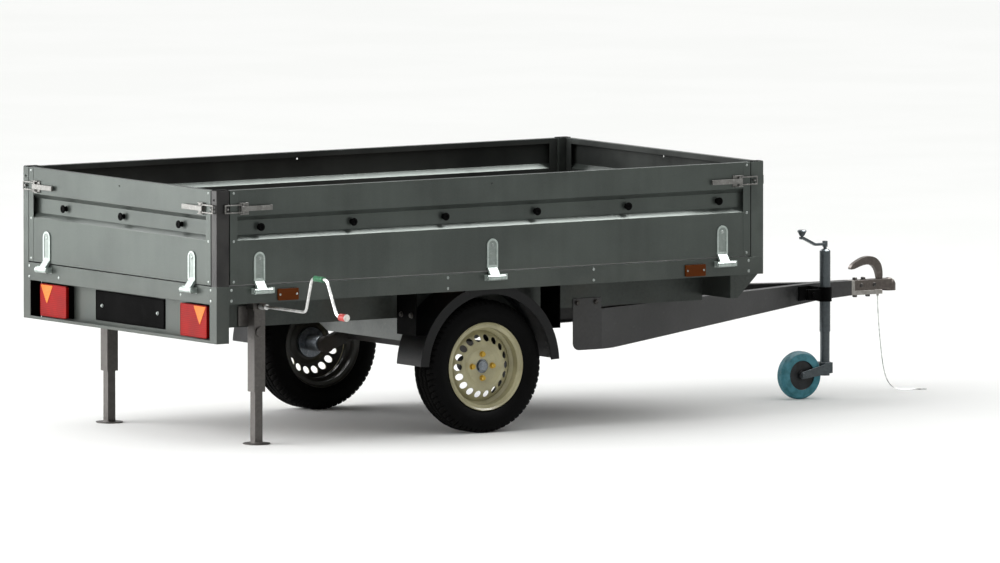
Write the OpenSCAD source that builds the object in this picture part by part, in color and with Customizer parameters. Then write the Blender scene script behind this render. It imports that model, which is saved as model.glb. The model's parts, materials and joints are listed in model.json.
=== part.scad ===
// Single-axle drop-side utility trailer, parked on its wheels, jockey wheel and two rear stands.
// Millimetres. +X towards the tow coupling, +Y to the trailer's left, +Z up.
// Origin: on the ground, under the middle of the axle.
// The modules are drawn with X from the rear face of the bed, and place() moves each
// finished piece forward or back so that the wheel centres lie over the origin.

/* [Load bed] */
// Outer length of the bed, over the corner posts
bed_length = 2677; // [2200:1:3300]
// Outer width of the bed, over the corner posts
bed_width = 1470; // [1220:1:1800]
// Height of the four drop sides
side_height = 387; // [320:1:480]
// Depth of a drop side, from its outer to its inner face
side_depth = 26; // [25:1:36]
// Sheet thickness of the drop sides
side_sheet = 2; // [1:0.5:2.5]
// Depth of the long recess pressed into each side
recess_depth = 22; // [16:1:22]
// Gap round each drop side
side_gap = 5; // [5:0.5:8]
// Depth of the sill's web
sill_depth = 73; // [60:1:88]
// Steel thickness of the sill and of the light panel
sill_sheet = 2.5; // [2:0.5:4]
// Width of the sill's top flange
sill_flange = 45; // [40:1:60]
// Thickness of the floor board
floor_thick = 12; // [9:1:18]

/* [Corner posts] */
// Length of a post along the bed
post_length = 60; // [50:1:75]
// Width of a post across the bed
post_width = 38; // [32:1:46]
// Wall of a post
post_wall = 2; // [2:0.5:4]
// Thickness of a post's cap
cap_thick = 3; // [2:0.5:5]

/* [Hinges and latches] */
// Distance of the end hinges from the ends of a side
hinge_inset = 140; // [100:1:180]
// Width of a hinge strap
strap_width = 53; // [44:1:64]
// Height of a hinge strap on the side
strap_height = 131; // [110:1:160]
// Distance of the hinge pin outside the bed's face
pin_out = 22; // [20:1:28]
// Distance of the hinge pin below the sill's top
pin_down = 23; // [18:1:30]
// Radius of the hinge pin
pin_radius = 6; // [4:0.5:7]
// Height of the latches above the bottom of the side
latch_height = 311; // [260:1:320]
// Length of a latch lever
lever_length = 150; // [120:1:180]

/* [Chassis] */
// Height of the two long rails
rail_height = 119; // [96:1:143]
// Distance of a rail's outer face inside the bed's face
rail_inset = 209; // [206:1:240]
// Width of a rail's flange
rail_flange = 50; // [40:1:60]
// Steel thickness of the rails
rail_sheet = 3; // [3:0.5:5]
// Height of the members between the floor and the rails
cross_height = 56; // [48:1:66]
// Width of those members
cross_width = 40; // [34:1:48]

/* [Rear light panel] */
// Depth of the recess that holds the lamps
panel_recess = 55; // [50:1:66]
// Distance of the panel's bottom below the sill's top
panel_drop = 232; // [215:1:260]
// Width of a tail lamp
lamp_width = 200; // [170:1:220]
// Height of a tail lamp
lamp_height = 134; // [112:1:140]
// Depth of a tail lamp
lamp_depth = 38; // [32:1:46]

/* [Axle and wheels] */
// Distance of the wheel centres from the rear of the bed
axle_from_rear = 1345; // [1250:1:1450]
// Diameter of the tyre
tyre_diameter = 547; // [520:1:656]
// Width of the tyre
tyre_width = 155; // [145:1:165]
// Diameter of the rim's flange
rim_flange_diameter = 364; // [350:1:380]
// Distance of the tyre's side inside the bed's face
tyre_inset = 43; // [32:1:50]
// Radius of the ring of round holes in the rim's disc
hole_ring = 116.5; // [112:0.5:120]
// Number of those holes
hole_count = 18; // [12:1:20]
// Radial gap between tyre and mudguard
mudguard_gap = 66; // [55:1:70]
// Width of a mudguard
mudguard_width = 182; // [170:1:184]
// Thickness of a mudguard
mudguard_wall = 3; // [2:0.5:5]
// Side of the square axle tube
axle_tube = 60; // [50:1:70]

/* [Drawbar] */
// Distance from the front of the bed to the end of the drawbar arms
drawbar_reach = 923; // [820:1:1080]
// Distance of the arms' first bend behind the front of the bed
arm_bend_back = 663; // [560:1:760]
// Length of the straight ends of the arms, side by side at the coupling
arm_nose = 170; // [140:1:210]
// Length of the plates that bolt the arms to the rails
arm_plate = 141; // [118:1:170]
// Depth of an arm at its bend
arm_depth_rear = 167; // [140:1:190]
// Depth of an arm at the coupling
arm_depth_front = 61; // [56:1:70]
// Width of an arm's flange
arm_flange = 40; // [30:1:48]
// Steel thickness of the arms
arm_sheet = 4; // [3:0.5:5]
// Radius of the tow ball
ball_radius = 25; // [24:0.5:25]

/* [Jockey wheel] */
// Diameter of the jockey wheel
jockey_diameter = 200; // [170:1:220]
// Width of the jockey wheel
jockey_width = 50; // [42:1:56]
// Distance of its tube behind the ends of the arms
jockey_back = 213; // [190:1:255]
// Distance of its tube outside the arms' straight ends
jockey_out = 115; // [96:1:138]
// Radius of its outer tube
jockey_tube_radius = 22.5; // [21:0.5:26]
// Travel of its screw
jockey_travel = 120; // [80:1:122]

/* [Rear stands] */
// Distance of the stands from the rear of the bed
stand_from_rear = 305; // [260:1:340]
// Side of a stand's square outer tube
stand_tube = 52; // [48:1:60]
// Side of a stand's square leg
stand_leg = 36; // [30:1:38]
// Radius of a stand's foot
foot_radius = 56; // [48:1:66]
// Travel of a stand's leg
stand_travel = 190; // [150:1:190]

/* [Hidden] */
$fn = 64;

snug = 0.3;                 // gap between pieces that seat on each other
running = 0.1;              // radial gap of a pin in its bore
eps = 0.5;                  // overlap that joins parts of one solid

tyre_radius = tyre_diameter / 2;
half_width = bed_width / 2;
sill_top = tyre_diameter + 121;
sill_bottom = sill_top - sill_depth;
gate_z = sill_top + side_gap;
floor_top = sill_top - sill_sheet;
cross_top = floor_top - floor_thick;
rail_top = cross_top - cross_height;
rail_bottom = rail_top - rail_height;
rail_face = half_width - rail_inset;
post_top = gate_z + side_height;

long_side = bed_length - 2 * (post_length + side_gap);
short_side = bed_width - 2 * (post_width + side_gap);
end_cap = 35;               // width of the folded cap at each end of a side
cap_proud = 1;

panel_bottom = sill_top - panel_drop;
bracket_width = 52;         // rear face of a lower corner bracket
panel_half = half_width - bracket_width;
lamp_face = panel_recess - lamp_depth;
lamp_z = panel_bottom + 14;
lamp_y = panel_half - 49 - lamp_width / 2;

wheel_y = half_width - tyre_inset - tyre_width / 2;
rim_half = 65;              // from the wheel's middle plane to the edge of the rim's flange
hub_face = 33;
spindle_radius = 17;
mudguard_radius = tyre_radius + mudguard_gap;
mudguard_out = half_width - 23;
axle_tube_x = axle_from_rear + 130;
axle_tube_z = tyre_radius + 48.5;
carrier_back = axle_from_rear - 125;
carrier_front = axle_tube_x + axle_tube / 2 + 30;
carrier_half = rail_face - 15;
carrier_flat = carrier_half - 190;
carrier_bottom = axle_tube_z + axle_tube / 2;
carrier_rise = rail_bottom - 40 - carrier_bottom;
end_plate = 6;              // plates on the ends of the axle tube
// they stop below the carrier's slanted sheet
carrier_clear = max(4, end_plate * carrier_rise / (carrier_half - carrier_flat) + snug);
bracket_reach = mudguard_radius + 10.5;  // from the wheel centre to the mudguard's brackets

arm_x = bed_length - arm_bend_back;
arm_face = rail_face + arm_sheet;
nose_half = 30;
apron_length = 162;
nose_x = bed_length + drawbar_reach;
nose_bend_x = nose_x - arm_nose;
arm_slope = (arm_face - nose_half) / (nose_bend_x - arm_x);
arm_top = rail_bottom - 10.5;
arm_rear_bottom = arm_top - arm_depth_rear;
arm_front_bottom = arm_top - arm_depth_front;

socket_radius = ball_radius + 0.3;
ball_x = nose_x + 205;
ball_z = arm_top - 28;

jockey_x = nose_x - jockey_back;
jockey_y = -nose_half - jockey_out;
jockey_arm_y = -nose_half - max(0, nose_bend_x - jockey_x) * arm_slope;
jockey_tube_low = arm_top - 192.5;
jockey_tube_high = arm_top + 145;
jockey_neck = 7;             // height of the cone on top of the tube
leg_radius = jockey_tube_radius - 2.5;
jockey_trail = jockey_diameter / 2 + leg_radius + 10;

stand_plate = 7;            // plate between a stand and its rail
stand_y = rail_face + stand_plate + stand_tube / 2;
stand_low = sill_top - 453;
stand_high = sill_top - 118;
crank_z = sill_top - 102;
crank_radius = 6;

// points of the safety cable, from its ferrule to its hook: down from the coupling, then along the ground
cable_points = [
    [2393, -20, 399], [2393, -20, 380], [2394, -20, 350], [2396, -21, 310], [2399, -22, 265],
    [2403, -23, 220], [2408, -24, 175], [2413, -26, 130], [2419, -28, 92], [2427, -31, 60],
    [2439, -35, 34], [2455, -40, 16], [2475, -46, 6], [2497, -53, 2.4], [2520, -61, 2], [2543, -69, 2]
];
cable_radius = 2;

// ---- helpers ----

module place() translate([-axle_from_rear, 0, 0]) children();

module both() { children(); mirror([0, 1, 0]) children(); }

// right-hand normal of the segment that ends at point i of a path
function turn(p, i) = let (d = p[i] - p[i - 1]) [d[1], -d[0]] / norm(d);

// how far and in which direction point i moves when the path is offset by one
function miter(p, i) =
    i == 0 ? turn(p, 1) :
    i == len(p) - 1 ? turn(p, i) :
    (turn(p, i) + turn(p, i + 1)) / (1 + turn(p, i) * turn(p, i + 1));

// closed outline of a strip of thickness t on the right-hand side of an open path
function strip(p, t) = concat(p, [for (i = [len(p) - 1:-1:0]) p[i] + t * miter(p, i)]);

// points of an arc
function arc(c, r, a0, a1, n) = [for (i = [0:n]) c + r * [cos(a0 + (a1 - a0) * i / n), sin(a0 + (a1 - a0) * i / n)]];

// outline in Y and Z, extruded along X
module along_x(x0, x1) translate([x0, 0, 0]) rotate([90, 0, 90]) linear_extrude(x1 - x0) children();

// outline in X and Z, extruded along Y
module along_y(y0, y1) translate([0, y1, 0]) rotate([90, 0, 0]) linear_extrude(y1 - y0) children();

module rod_x(r, x0, x1) translate([x0, 0, 0]) rotate([0, 90, 0]) cylinder(r = r, h = x1 - x0);

module rod_y(r, y0, y1) translate([0, y1, 0]) rotate([90, 0, 0]) cylinder(r = r, h = y1 - y0);

// ---- bed ----

module floor_board() color("#6b5a45") place()
    translate([sill_sheet + snug, -half_width + sill_sheet + snug, cross_top])
        cube([bed_length - 2 * (sill_sheet + snug), bed_width - 2 * (sill_sheet + snug), floor_thick]);

// channel of a sill: web outside, top flange and short bottom flange inwards
sill_lip = 15;
sill_section = strip([
    [sill_lip, -sill_depth], [0, -sill_depth], [0, 0], [sill_flange, 0]
], sill_sheet);

module side_sills() color("#5c645f") place() both()
    translate([0, -half_width, sill_top])
        difference() {
            along_x(post_length, bed_length) polygon(sill_section);
            // seat of the front sill
            translate([bed_length - sill_flange, sill_sheet, -sill_depth - eps])
                cube([sill_flange, sill_flange, sill_depth + 2 * eps]);
        }

module end_sills() color("#7f8883") place() {
    // rear sill, between the corner brackets
    translate([0, panel_half, sill_top]) rotate([0, 0, -90])
        along_x(0, 2 * panel_half) polygon(sill_section);
    // front sill, between the side sills
    translate([bed_length, -half_width, sill_top]) rotate([0, 0, 90])
        along_x(sill_sheet, bed_width - sill_sheet) polygon(sill_section);
}

module corner_brackets() color("#5c645f") place() both()
    translate([0, -half_width, panel_bottom]) {
        cube([post_length, sill_sheet, panel_drop]);
        cube([sill_sheet, bracket_width, panel_drop]);
        translate([0, 0, panel_drop - sill_sheet]) cube([post_length, bracket_width, sill_sheet]);
    }

cross_half = half_width - sill_lip - 1;

// X of the rear face of each member
cross_x = [
    140, 560, axle_from_rear - bracket_reach, axle_from_rear + bracket_reach - cross_width,
    bed_length - 640, bed_length - 90
];

module cross_members() color("#565e5a") place()
    for (x = cross_x)
        translate([x, -cross_half, rail_top]) rotate([0, 0, 90]) mirror([0, 1, 0])
            along_x(0, 2 * cross_half) polygon(strip([
                [cross_width, 0], [0, 0], [0, cross_height], [cross_width, cross_height]
            ], rail_sheet));

// closed box behind the front of the bed, with a slanted front
module front_member() color("#4d5551") place() {
    low = rail_bottom + 22;
    back = bed_length - apron_length;
    outline = [[back, low], [back + 36, low], [bed_length - 27, sill_bottom], [back, sill_bottom]];
    difference() {
        along_y(-half_width + 1, half_width - 1) polygon(outline);
        along_y(-half_width + 1 + rail_sheet, half_width - 1 - rail_sheet) polygon([
            [back + rail_sheet, low + rail_sheet], [back + 34, low + rail_sheet],
            [bed_length - 27 - 2 * rail_sheet, sill_bottom - rail_sheet],
            [back + rail_sheet, sill_bottom - rail_sheet]
        ]);
    }
}

module chassis_rails() color("#4f5753") place() both()
    translate([0, -rail_face, rail_bottom])
        along_x(panel_recess + sill_sheet, bed_length - apron_length) polygon(strip([
            [rail_flange, 0], [0, 0], [0, rail_height], [rail_flange, rail_height]
        ], rail_sheet));

// ---- rear lights ----

module light_panel() color("#87918b") place()
    translate([0, panel_half, panel_bottom]) rotate([0, 0, -90])
        along_x(0, 2 * panel_half) polygon(strip([
            [0, 12], [0, 0], [panel_recess + sill_sheet, 0],
            [panel_recess + sill_sheet, cross_top - panel_bottom]
        ], -sill_sheet));

module rounded_plate(w, h, t, r) linear_extrude(t) {
    translate([-w / 2 + r, -h / 2]) square([w - 2 * r, h]);
    translate([-w / 2, -h / 2 + r]) square([w, h - 2 * r]);
    for (x = [-1, 1], y = [-1, 1]) translate([x * (w / 2 - r), y * (h / 2 - r)]) circle(r);
}

lens_depth = 12;

module lamp_housings() color("#101010") place() both()
    translate([lamp_face + lens_depth, -lamp_y, lamp_z + lamp_height / 2]) rotate([90, 0, 90])
        rounded_plate(lamp_width, lamp_height, lamp_depth - lens_depth, 8);

module lamp_lenses() color("#b01c1c") place() both()
    translate([lamp_face, -lamp_y, lamp_z + lamp_height / 2]) rotate([90, 0, 90])
        rounded_plate(lamp_width, lamp_height, lens_depth, 8);

module number_plate() color("#0b0b0b") place()
    translate([panel_recess - 4, 0, lamp_z + lamp_height / 2 + 4]) rotate([90, 0, 90])
        rounded_plate(523, 124, 4, 4);

reflector_x = [343, bed_length - 339];

module side_reflectors() color("#a3560f") place() both()
    for (x = reflector_x)
        translate([x, -half_width, sill_top - 43]) rotate([90, 0, 0]) rounded_plate(98, 48, 8, 4);

// ---- corner posts ----

module corner_post() difference() {
    cube([post_length, post_width, side_height + side_gap]);
    translate([post_wall, post_wall, -eps])
        cube([post_length - 2 * post_wall, post_width - 2 * post_wall, side_height + side_gap + 2 * eps]);
    // rope hole through the end faces
    translate([0, post_width / 2, side_height - 33]) rod_x(5, -1, post_length + 1);
}

module corner_posts() color("#6a716c") place() both()
    for (x = [0, bed_length - post_length])
        translate([x, -half_width, sill_top]) corner_post();

module post_caps() color("#121212") place() both()
    for (x = [0, bed_length - post_length])
        translate([x, -half_width, post_top]) cube([post_length, post_width, cap_thick]);

// ---- what repeats on each drop side ----
// A side is drawn with X along it, Y from its outer face inwards and Z from its bottom.

module at_right() translate([post_length + side_gap, -half_width, gate_z]) children();
module at_left() mirror([0, 1, 0]) at_right() children();
module at_rear() translate([0, short_side / 2, gate_z]) rotate([0, 0, -90]) children();
module at_front() translate([bed_length, -short_side / 2, gate_z]) rotate([0, 0, 90]) children();

// outer surface of the folded sheet, from its bottom lip to its top lip
side_path = [
    [side_depth, 14], [side_depth, 0], [0, 0], [0, side_height - 206],
    [recess_depth, side_height - 186], [recess_depth, side_height - 126],
    [0, side_height - 107], [0, side_height], [side_depth, side_height], [side_depth, side_height - 22]
];

module drop_side(length) difference() {
    union() {
        along_x(end_cap / 2, length - end_cap / 2) polygon(strip(side_path, side_sheet));
        // folded caps that close both ends
        for (m = [0, 1]) translate([m * length, 0, 0]) mirror([m, 0, 0]) difference() {
            translate([0, -cap_proud, 0]) cube([end_cap, side_depth + 2 * cap_proud, side_height]);
            translate([side_sheet, side_sheet - cap_proud, side_sheet])
                cube([end_cap, side_depth + 2 * (cap_proud - side_sheet), side_height - 2 * side_sheet]);
        }
    }
    translate([length / 2, 0, side_height - 30]) rod_y(4, -1, side_sheet + 1);
}

module strap() {
    r = strap_width / 2;
    rotate([90, 0, 0]) {
        linear_extrude(3) { translate([-r, 12]) square([strap_width, strap_height - 12 - r]); translate([0, strap_height - r]) circle(r); }
        linear_extrude(5) difference() {
            union() { translate([-r, 12]) square([strap_width, strap_height - 12 - r]); translate([0, strap_height - r]) circle(r); }
            translate([-r + 8, 12]) square([strap_width - 16, strap_height - 12 - r]);
            translate([0, strap_height - r]) circle(r - 8);
        }
    }
    // neck from the strap down to the knuckle
    difference() {
        union() {
            along_x(-r + 4, r - 4) polygon([
                [0, 20], [0, 3], [8 - pin_out, 6 - side_gap - pin_down],
                [-pin_out - 6, 8 - side_gap - pin_down], [-5, 12], [-5, 20]
            ]);
            translate([0, -pin_out, -side_gap - pin_down]) rod_x(2 * pin_radius, -r, r);
        }
        translate([0, -pin_out, -side_gap - pin_down]) rod_x(pin_radius + running, -r - 1, r + 1);
    }
}

// ear, pin and long foot that hold a strap's knuckle on the sill
module hinge_carrier() {
    near = strap_width / 2 + 1.5;
    short_ear = 9;
    long_ear = 20;
    foot = 46;
    along_x(-near - short_ear, near + foot)
        translate([-3, -side_gap - pin_down - 12]) square([3, 24]);
    translate([0, -pin_out, -side_gap - pin_down]) {
        rod_x(pin_radius, -near - short_ear - 4, near + long_ear + 4);
        rod_x(2 * pin_radius, -near - short_ear, -near);
        rod_x(2 * pin_radius, near, near + long_ear);
    }
    for (span = [[-near - short_ear, -near], [near, near + long_ear]])
        along_x(span[0], span[1])
            translate([-pin_out, -side_gap - pin_down - 9]) square([pin_out, 18]);
}

// latch beside the end of a side, with its wire loop reaching over the post
loop_start = -30;
module latch() translate([0, 0, latch_height]) {
    rotate([90, 0, 0]) {
        // base and its two cheeks
        linear_extrude(4) translate([42, -24]) square([46, 48]);
        for (z = [-24, 21]) linear_extrude(14) translate([42, z]) square([40, 3]);
        // wire loop
        translate([0, 0, 6]) linear_extrude(5) difference() {
            translate([loop_start, -18]) square([82, 36]);
            translate([loop_start + 5, -13]) square([72, 26]);
        }
        // lever
        translate([0, 0, 4]) linear_extrude(4) translate([48, -8]) square([20, 16]);
        translate([0, 0, 7]) linear_extrude(9) translate([46, -10]) square([lever_length, 20]);
    }
    // pivot of the lever
    translate([58, -10, -22]) cylinder(r = 4, h = 44);
}

module latch_stud() translate([loop_start + 14, 0, latch_height]) rod_y(4, -12, 0);

module long_hinges() for (x = [hinge_inset, long_side / 2, long_side - hinge_inset]) translate([x, 0, 0]) children();
module short_hinges() for (x = [hinge_inset, short_side - hinge_inset]) translate([x, 0, 0]) children();
module at_both_ends(length) { children(); translate([length, 0, 0]) mirror([1, 0, 0]) children(); }

module side_right() color("#4f5652") place() at_right() drop_side(long_side);
module side_left() color("#4f5652") place() at_left() drop_side(long_side);
module tailboard() color("#6f7873") place() at_rear() drop_side(short_side);
module headboard() color("#6f7873") place() at_front() drop_side(short_side);

module hinges_right() color("#9aa8a2") place() at_right() long_hinges() strap();
module hinges_left() color("#9aa8a2") place() at_left() long_hinges() strap();
module hinges_rear() color("#9aa8a2") place() at_rear() short_hinges() strap();
module hinges_front() color("#9aa8a2") place() at_front() short_hinges() strap();

module latches_right() color("#77736f") place() at_right() at_both_ends(long_side) latch();
module latches_left() color("#77736f") place() at_left() at_both_ends(long_side) latch();
module latches_rear() color("#77736f") place() at_rear() at_both_ends(short_side) latch();
module latches_front() color("#77736f") place() at_front() at_both_ends(short_side) latch();

module hinge_carriers() color("#8d9893") place() {
    at_right() long_hinges() hinge_carrier();
    at_left() long_hinges() hinge_carrier();
    at_rear() short_hinges() mirror([1, 0, 0]) hinge_carrier();
    at_front() short_hinges() hinge_carrier();
}

module latch_studs() color("#8a8580") place() {
    at_right() at_both_ends(long_side) latch_stud();
    at_left() at_both_ends(long_side) latch_stud();
    at_rear() at_both_ends(short_side) latch_stud();
    at_front() at_both_ends(short_side) latch_stud();
}

// ---- axle, wheels and mudguards ----

// box across the chassis that carries the axle tube, its bottom cut away towards both ends
module axle_carrier() color("#8b8e8b") place() {
    high = rail_bottom;
    low = carrier_bottom;
    wall = 4;
    outline = [
        [-carrier_half, high], [-carrier_half, high - 40], [-carrier_flat, low],
        [carrier_flat, low], [carrier_half, high - 40], [carrier_half, high]
    ];
    inner = [
        [-carrier_half - 1, high - wall], [-carrier_half - 1, high - 40 + wall], [-carrier_flat, low + wall],
        [carrier_flat, low + wall], [carrier_half + 1, high - 40 + wall], [carrier_half + 1, high - wall]
    ];
    difference() {
        along_x(carrier_back, carrier_front) polygon(outline);
        along_x(carrier_back + wall, carrier_front - wall) polygon(inner);
    }
}

module axle_beam() color("#3a3a3a") place()
    translate([axle_tube_x, 0, axle_tube_z]) {
        difference() {
            along_x(-axle_tube / 2, axle_tube / 2)
                translate([-carrier_half, -axle_tube / 2]) square([2 * carrier_half, axle_tube]);
            along_x(-axle_tube / 2 + 5, axle_tube / 2 - 5)
                translate([-carrier_half - 1, -axle_tube / 2 + 5]) square([2 * carrier_half + 2, axle_tube - 10]);
        }
        // plates from the tube's ends up to the rails
        for (m = [0, 1]) mirror([0, m, 0])
            translate([-axle_tube / 2, -carrier_half, axle_tube / 2])
                cube([axle_tube, end_plate, carrier_rise - carrier_clear]);
    }

// trailing arm with the spindle that carries the hub
module axle_arms() color("#3a3a3a") place() both() {
    arm_thick = 28;
    outer = -carrier_half - arm_thick;
    slope = atan2(axle_tube_z - tyre_radius, axle_tube_x - axle_from_rear);
    reach = norm([axle_tube_z - tyre_radius, axle_tube_x - axle_from_rear]);
    translate([axle_from_rear, 0, tyre_radius]) {
        rod_y(33, outer, outer + arm_thick);
        rotate([0, -slope, 0]) {
            along_y(outer, outer + arm_thick) polygon([[0, -28], [reach, -32], [reach, 32], [0, 28]]);
            translate([reach, 0, 0]) rod_y(36, outer, outer + arm_thick);
        }
        rod_y(spindle_radius, -wheel_y - 18, outer + eps);
    }
}

module mudguards() color("#4a4c4e") place() both()
    translate([axle_from_rear, 0, tyre_radius]) rotate([90, 0, 0])
        rotate([0, 0, 3]) rotate_extrude(angle = 174, $fn = 96) polygon(strip([
            [mudguard_radius - 40, mudguard_out], [mudguard_radius, mudguard_out],
            [mudguard_radius, mudguard_out - mudguard_width],
            [mudguard_radius - 18, mudguard_out - mudguard_width]
        ], mudguard_wall));

module mudguard_brackets() color("#1b1b1b") place() both() {
    drop = 143.5;
    reach = sqrt(mudguard_radius * mudguard_radius - drop * drop) + snug;
    for (m = [0, 1]) translate([axle_from_rear, -mudguard_out + 15, tyre_radius + drop]) mirror([m, 0, 0]) {
        translate([-bracket_reach - 4, 0, 0]) cube([4, mudguard_width - 40, cross_top - 10 - tyre_radius - drop]);
        translate([-bracket_reach - 4, 0, 0]) cube([bracket_reach - reach + 4, mudguard_width - 40, 4]);
    }
}

// A wheel is drawn with its axis along Z, outwards up, and its middle plane at Z 0.
module at_wheel_right() translate([axle_from_rear, -wheel_y, tyre_radius]) rotate([90, 0, 0]) children();
module at_wheel_left() mirror([0, 1, 0]) at_wheel_right() children();

flange_radius = rim_flange_diameter / 2;
seat_radius = flange_radius - 19;

module rim() difference() {
    union() {
        rotate_extrude($fn = 96) polygon(strip([
            [flange_radius, -rim_half], [flange_radius - 8, -57], [seat_radius, -55], [seat_radius, -30],
            [seat_radius - 13, -18], [seat_radius - 13, 12], [seat_radius, 24], [seat_radius, 55],
            [flange_radius - 8, 57], [flange_radius, rim_half]
        ], -3.5));
        rotate_extrude($fn = 96) polygon(strip([
            [29, hub_face], [72, hub_face], [90, 41], [104, 39], [128, 22],
            [seat_radius - 16.2, 4], [seat_radius - 16.2, -8]
        ], -4));
    }
    for (i = [0:hole_count - 1]) rotate([0, 0, i * 360 / hole_count])
        translate([hole_ring, 0, 0]) cylinder(r = 14.5, h = 60);
    for (i = [0:3]) rotate([0, 0, i * 90]) translate([49, 0, 20]) cylinder(r = 6.5, h = 40);
}

module tyre() {
    w = tyre_width / 2;
    f = flange_radius;
    half = [
        [seat_radius + snug, 54], [f - 8 + snug, 56.6], [f + 1.5, rim_half - 0.6],
        [f + 18, w - 4], [f + 34, w - 0.5], [f + 42, w], [f + 56, w - 2],
        [tyre_radius - 20, w - 6.5], [tyre_radius - 11, w - 11], [tyre_radius - 4, w - 19],
        [tyre_radius, w - 30]
    ];
    rotate_extrude($fn = 96) polygon(concat(half, [for (i = [len(half) - 1:-1:0]) [half[i][0], -half[i][1]]]));
}

module hub() difference() {
    union() {
        translate([0, 0, hub_face - 12]) cylinder(r = 62, h = 12);
        translate([0, 0, -66]) cylinder(r = 33, h = hub_face - 12 + 66);
        translate([0, 0, hub_face - eps]) cylinder(r = 23, h = 12);
        translate([0, 0, hub_face + 10]) cylinder(r1 = 23, r2 = 17, h = 5);
    }
    translate([0, 0, -67]) cylinder(r = spindle_radius + running, h = 87);
}

module hub_right() color("#8f8f90") place() at_wheel_right() hub();
module hub_left() color("#8f8f90") place() at_wheel_left() hub();
module rim_right() color("#cfcab4") place() at_wheel_right() rim();
module rim_left() color("#cfcab4") place() at_wheel_left() rim();
module tyre_right() color("#0c0c0c") place() at_wheel_right() tyre();
module tyre_left() color("#0c0c0c") place() at_wheel_left() tyre();

// ---- drawbar and coupling ----

// outer faces of the right arm, seen from above
arm_path = [
    [arm_x - arm_plate, -arm_face], [arm_x, -arm_face], [nose_bend_x, -nose_half], [nose_x, -nose_half]
];

// an outline in X and Z, kept where the arm runs, for a wall of thickness t
module arm_wall(t) intersection() {
    translate([0, 0, arm_rear_bottom - 1]) linear_extrude(arm_plate + arm_depth_rear) polygon(strip(arm_path, -t));
    along_y(-half_width, -snug / 2) children();
}

module drawbar_arms() color("#3c3d3e") place() both() {
    rise_x = arm_x + 76;
    // web, with its plate on the rail
    arm_wall(arm_sheet) polygon(concat(
        arc([arm_x - arm_plate + 30, arm_rear_bottom + 30], 30, 180, 270, 8),
        [[rise_x, arm_rear_bottom], [nose_x, arm_front_bottom], [nose_x, arm_top], [arm_x - 2, arm_top],
         [arm_x - 2, arm_top + 47], [arm_x - arm_plate, arm_top + 47]]
    ));
    // flanges
    arm_wall(arm_flange) polygon([
        [arm_x + 10, arm_top - arm_sheet], [nose_x, arm_top - arm_sheet], [nose_x, arm_top], [arm_x + 10, arm_top]
    ]);
    arm_wall(arm_flange) polygon([
        [arm_x + 10, arm_rear_bottom], [rise_x, arm_rear_bottom], [nose_x, arm_front_bottom],
        [nose_x, arm_front_bottom + arm_sheet], [rise_x, arm_rear_bottom + arm_sheet],
        [arm_x + 10, arm_rear_bottom + arm_sheet]
    ]);
    // block that carries the bed's front member
    block_x = bed_length - apron_length + 2;
    translate([block_x, -arm_face + (block_x + 32 - arm_x) * arm_slope + 1, arm_top - eps])
        cube([32, 26, rail_bottom + 22 - arm_top + eps]);
}

// folded nose under the coupling, and the plate that closes the arms
module coupling_nose() color("#8d8a85") place() translate([nose_x, 0, 0]) {
    difference() {
        translate([0, -nose_half - 1, arm_front_bottom]) cube([155, 2 * nose_half + 2, 18]);
        translate([20, -nose_half + 3, arm_front_bottom + 4]) cube([140, 2 * nose_half - 6, 20]);
    }
    translate([0, -nose_half - 1, arm_front_bottom]) cube([16, 2 * nose_half + 2, arm_depth_front]);
    // ferrule of the safety cable
    translate([138, -20, arm_front_bottom - 8]) cylinder(r = 5, h = 9);
}

module coupling_body() color("#3f3a37") place() {
    rear = nose_x + 16;
    low = arm_front_bottom + 18;
    high = arm_top - 1;
    head = socket_radius + 6;
    difference() {
        union() {
            difference() {
                translate([rear, -29, low]) cube([ball_x - rear, 58, high - low]);
                translate([rear + 5, -24, low - 1]) cube([ball_x - rear, 48, high - low - 4]);
            }
            translate([ball_x, 0, ball_z - 22]) cylinder(r = head, h = 22);
            intersection() {
                translate([ball_x, 0, ball_z]) sphere(head);
                translate([ball_x - head, -head, ball_z]) cube(2 * head);
            }
        }
        translate([ball_x, 0, ball_z]) sphere(socket_radius);
        translate([ball_x, 0, ball_z - 23]) cylinder(r = socket_radius, h = 23);
    }
}

// middle line of the coupling's handle, from its foot to its tip: a cubic curve through four poles
handle_poles = [[158, -1], [158, 96], [88, 96], [10, 48]];
function bezier(p, t) = pow(1 - t, 3) * p[0] + 3 * t * pow(1 - t, 2) * p[1] + 3 * t * t * (1 - t) * p[2] + t * t * t * p[3];
handle_line = [for (i = [0:20]) bezier(handle_poles, i / 20)];

// half width of the handle: slim at the foot, full in the grip, round at the tip
function handle_half(t) = (10 + 8 * sin(180 * pow(t, 0.8))) * sqrt(1 - pow(max(0, (t - 0.9) * 9.4), 2));

module coupling_handle() color("#423f3c") place() translate([nose_x, 0, arm_top]) along_y(-11, 11)
    difference() {
        polygon(concat(
            [for (i = [0:20]) handle_line[i] + handle_half(i / 20) * miter(handle_line, i)],
            [for (i = [20:-1:0]) handle_line[i] - handle_half(i / 20) * miter(handle_line, i)]
        ));
        // flat foot on the body
        translate([100, -21]) square([100, 20]);
    }

// ---- safety cable ----

// direction of the path at point i
function heading(p, i) = let (a = p[max(0, i - 1)], b = p[min(len(p) - 1, i + 1)]) (b - a) / norm(b - a);

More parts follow.
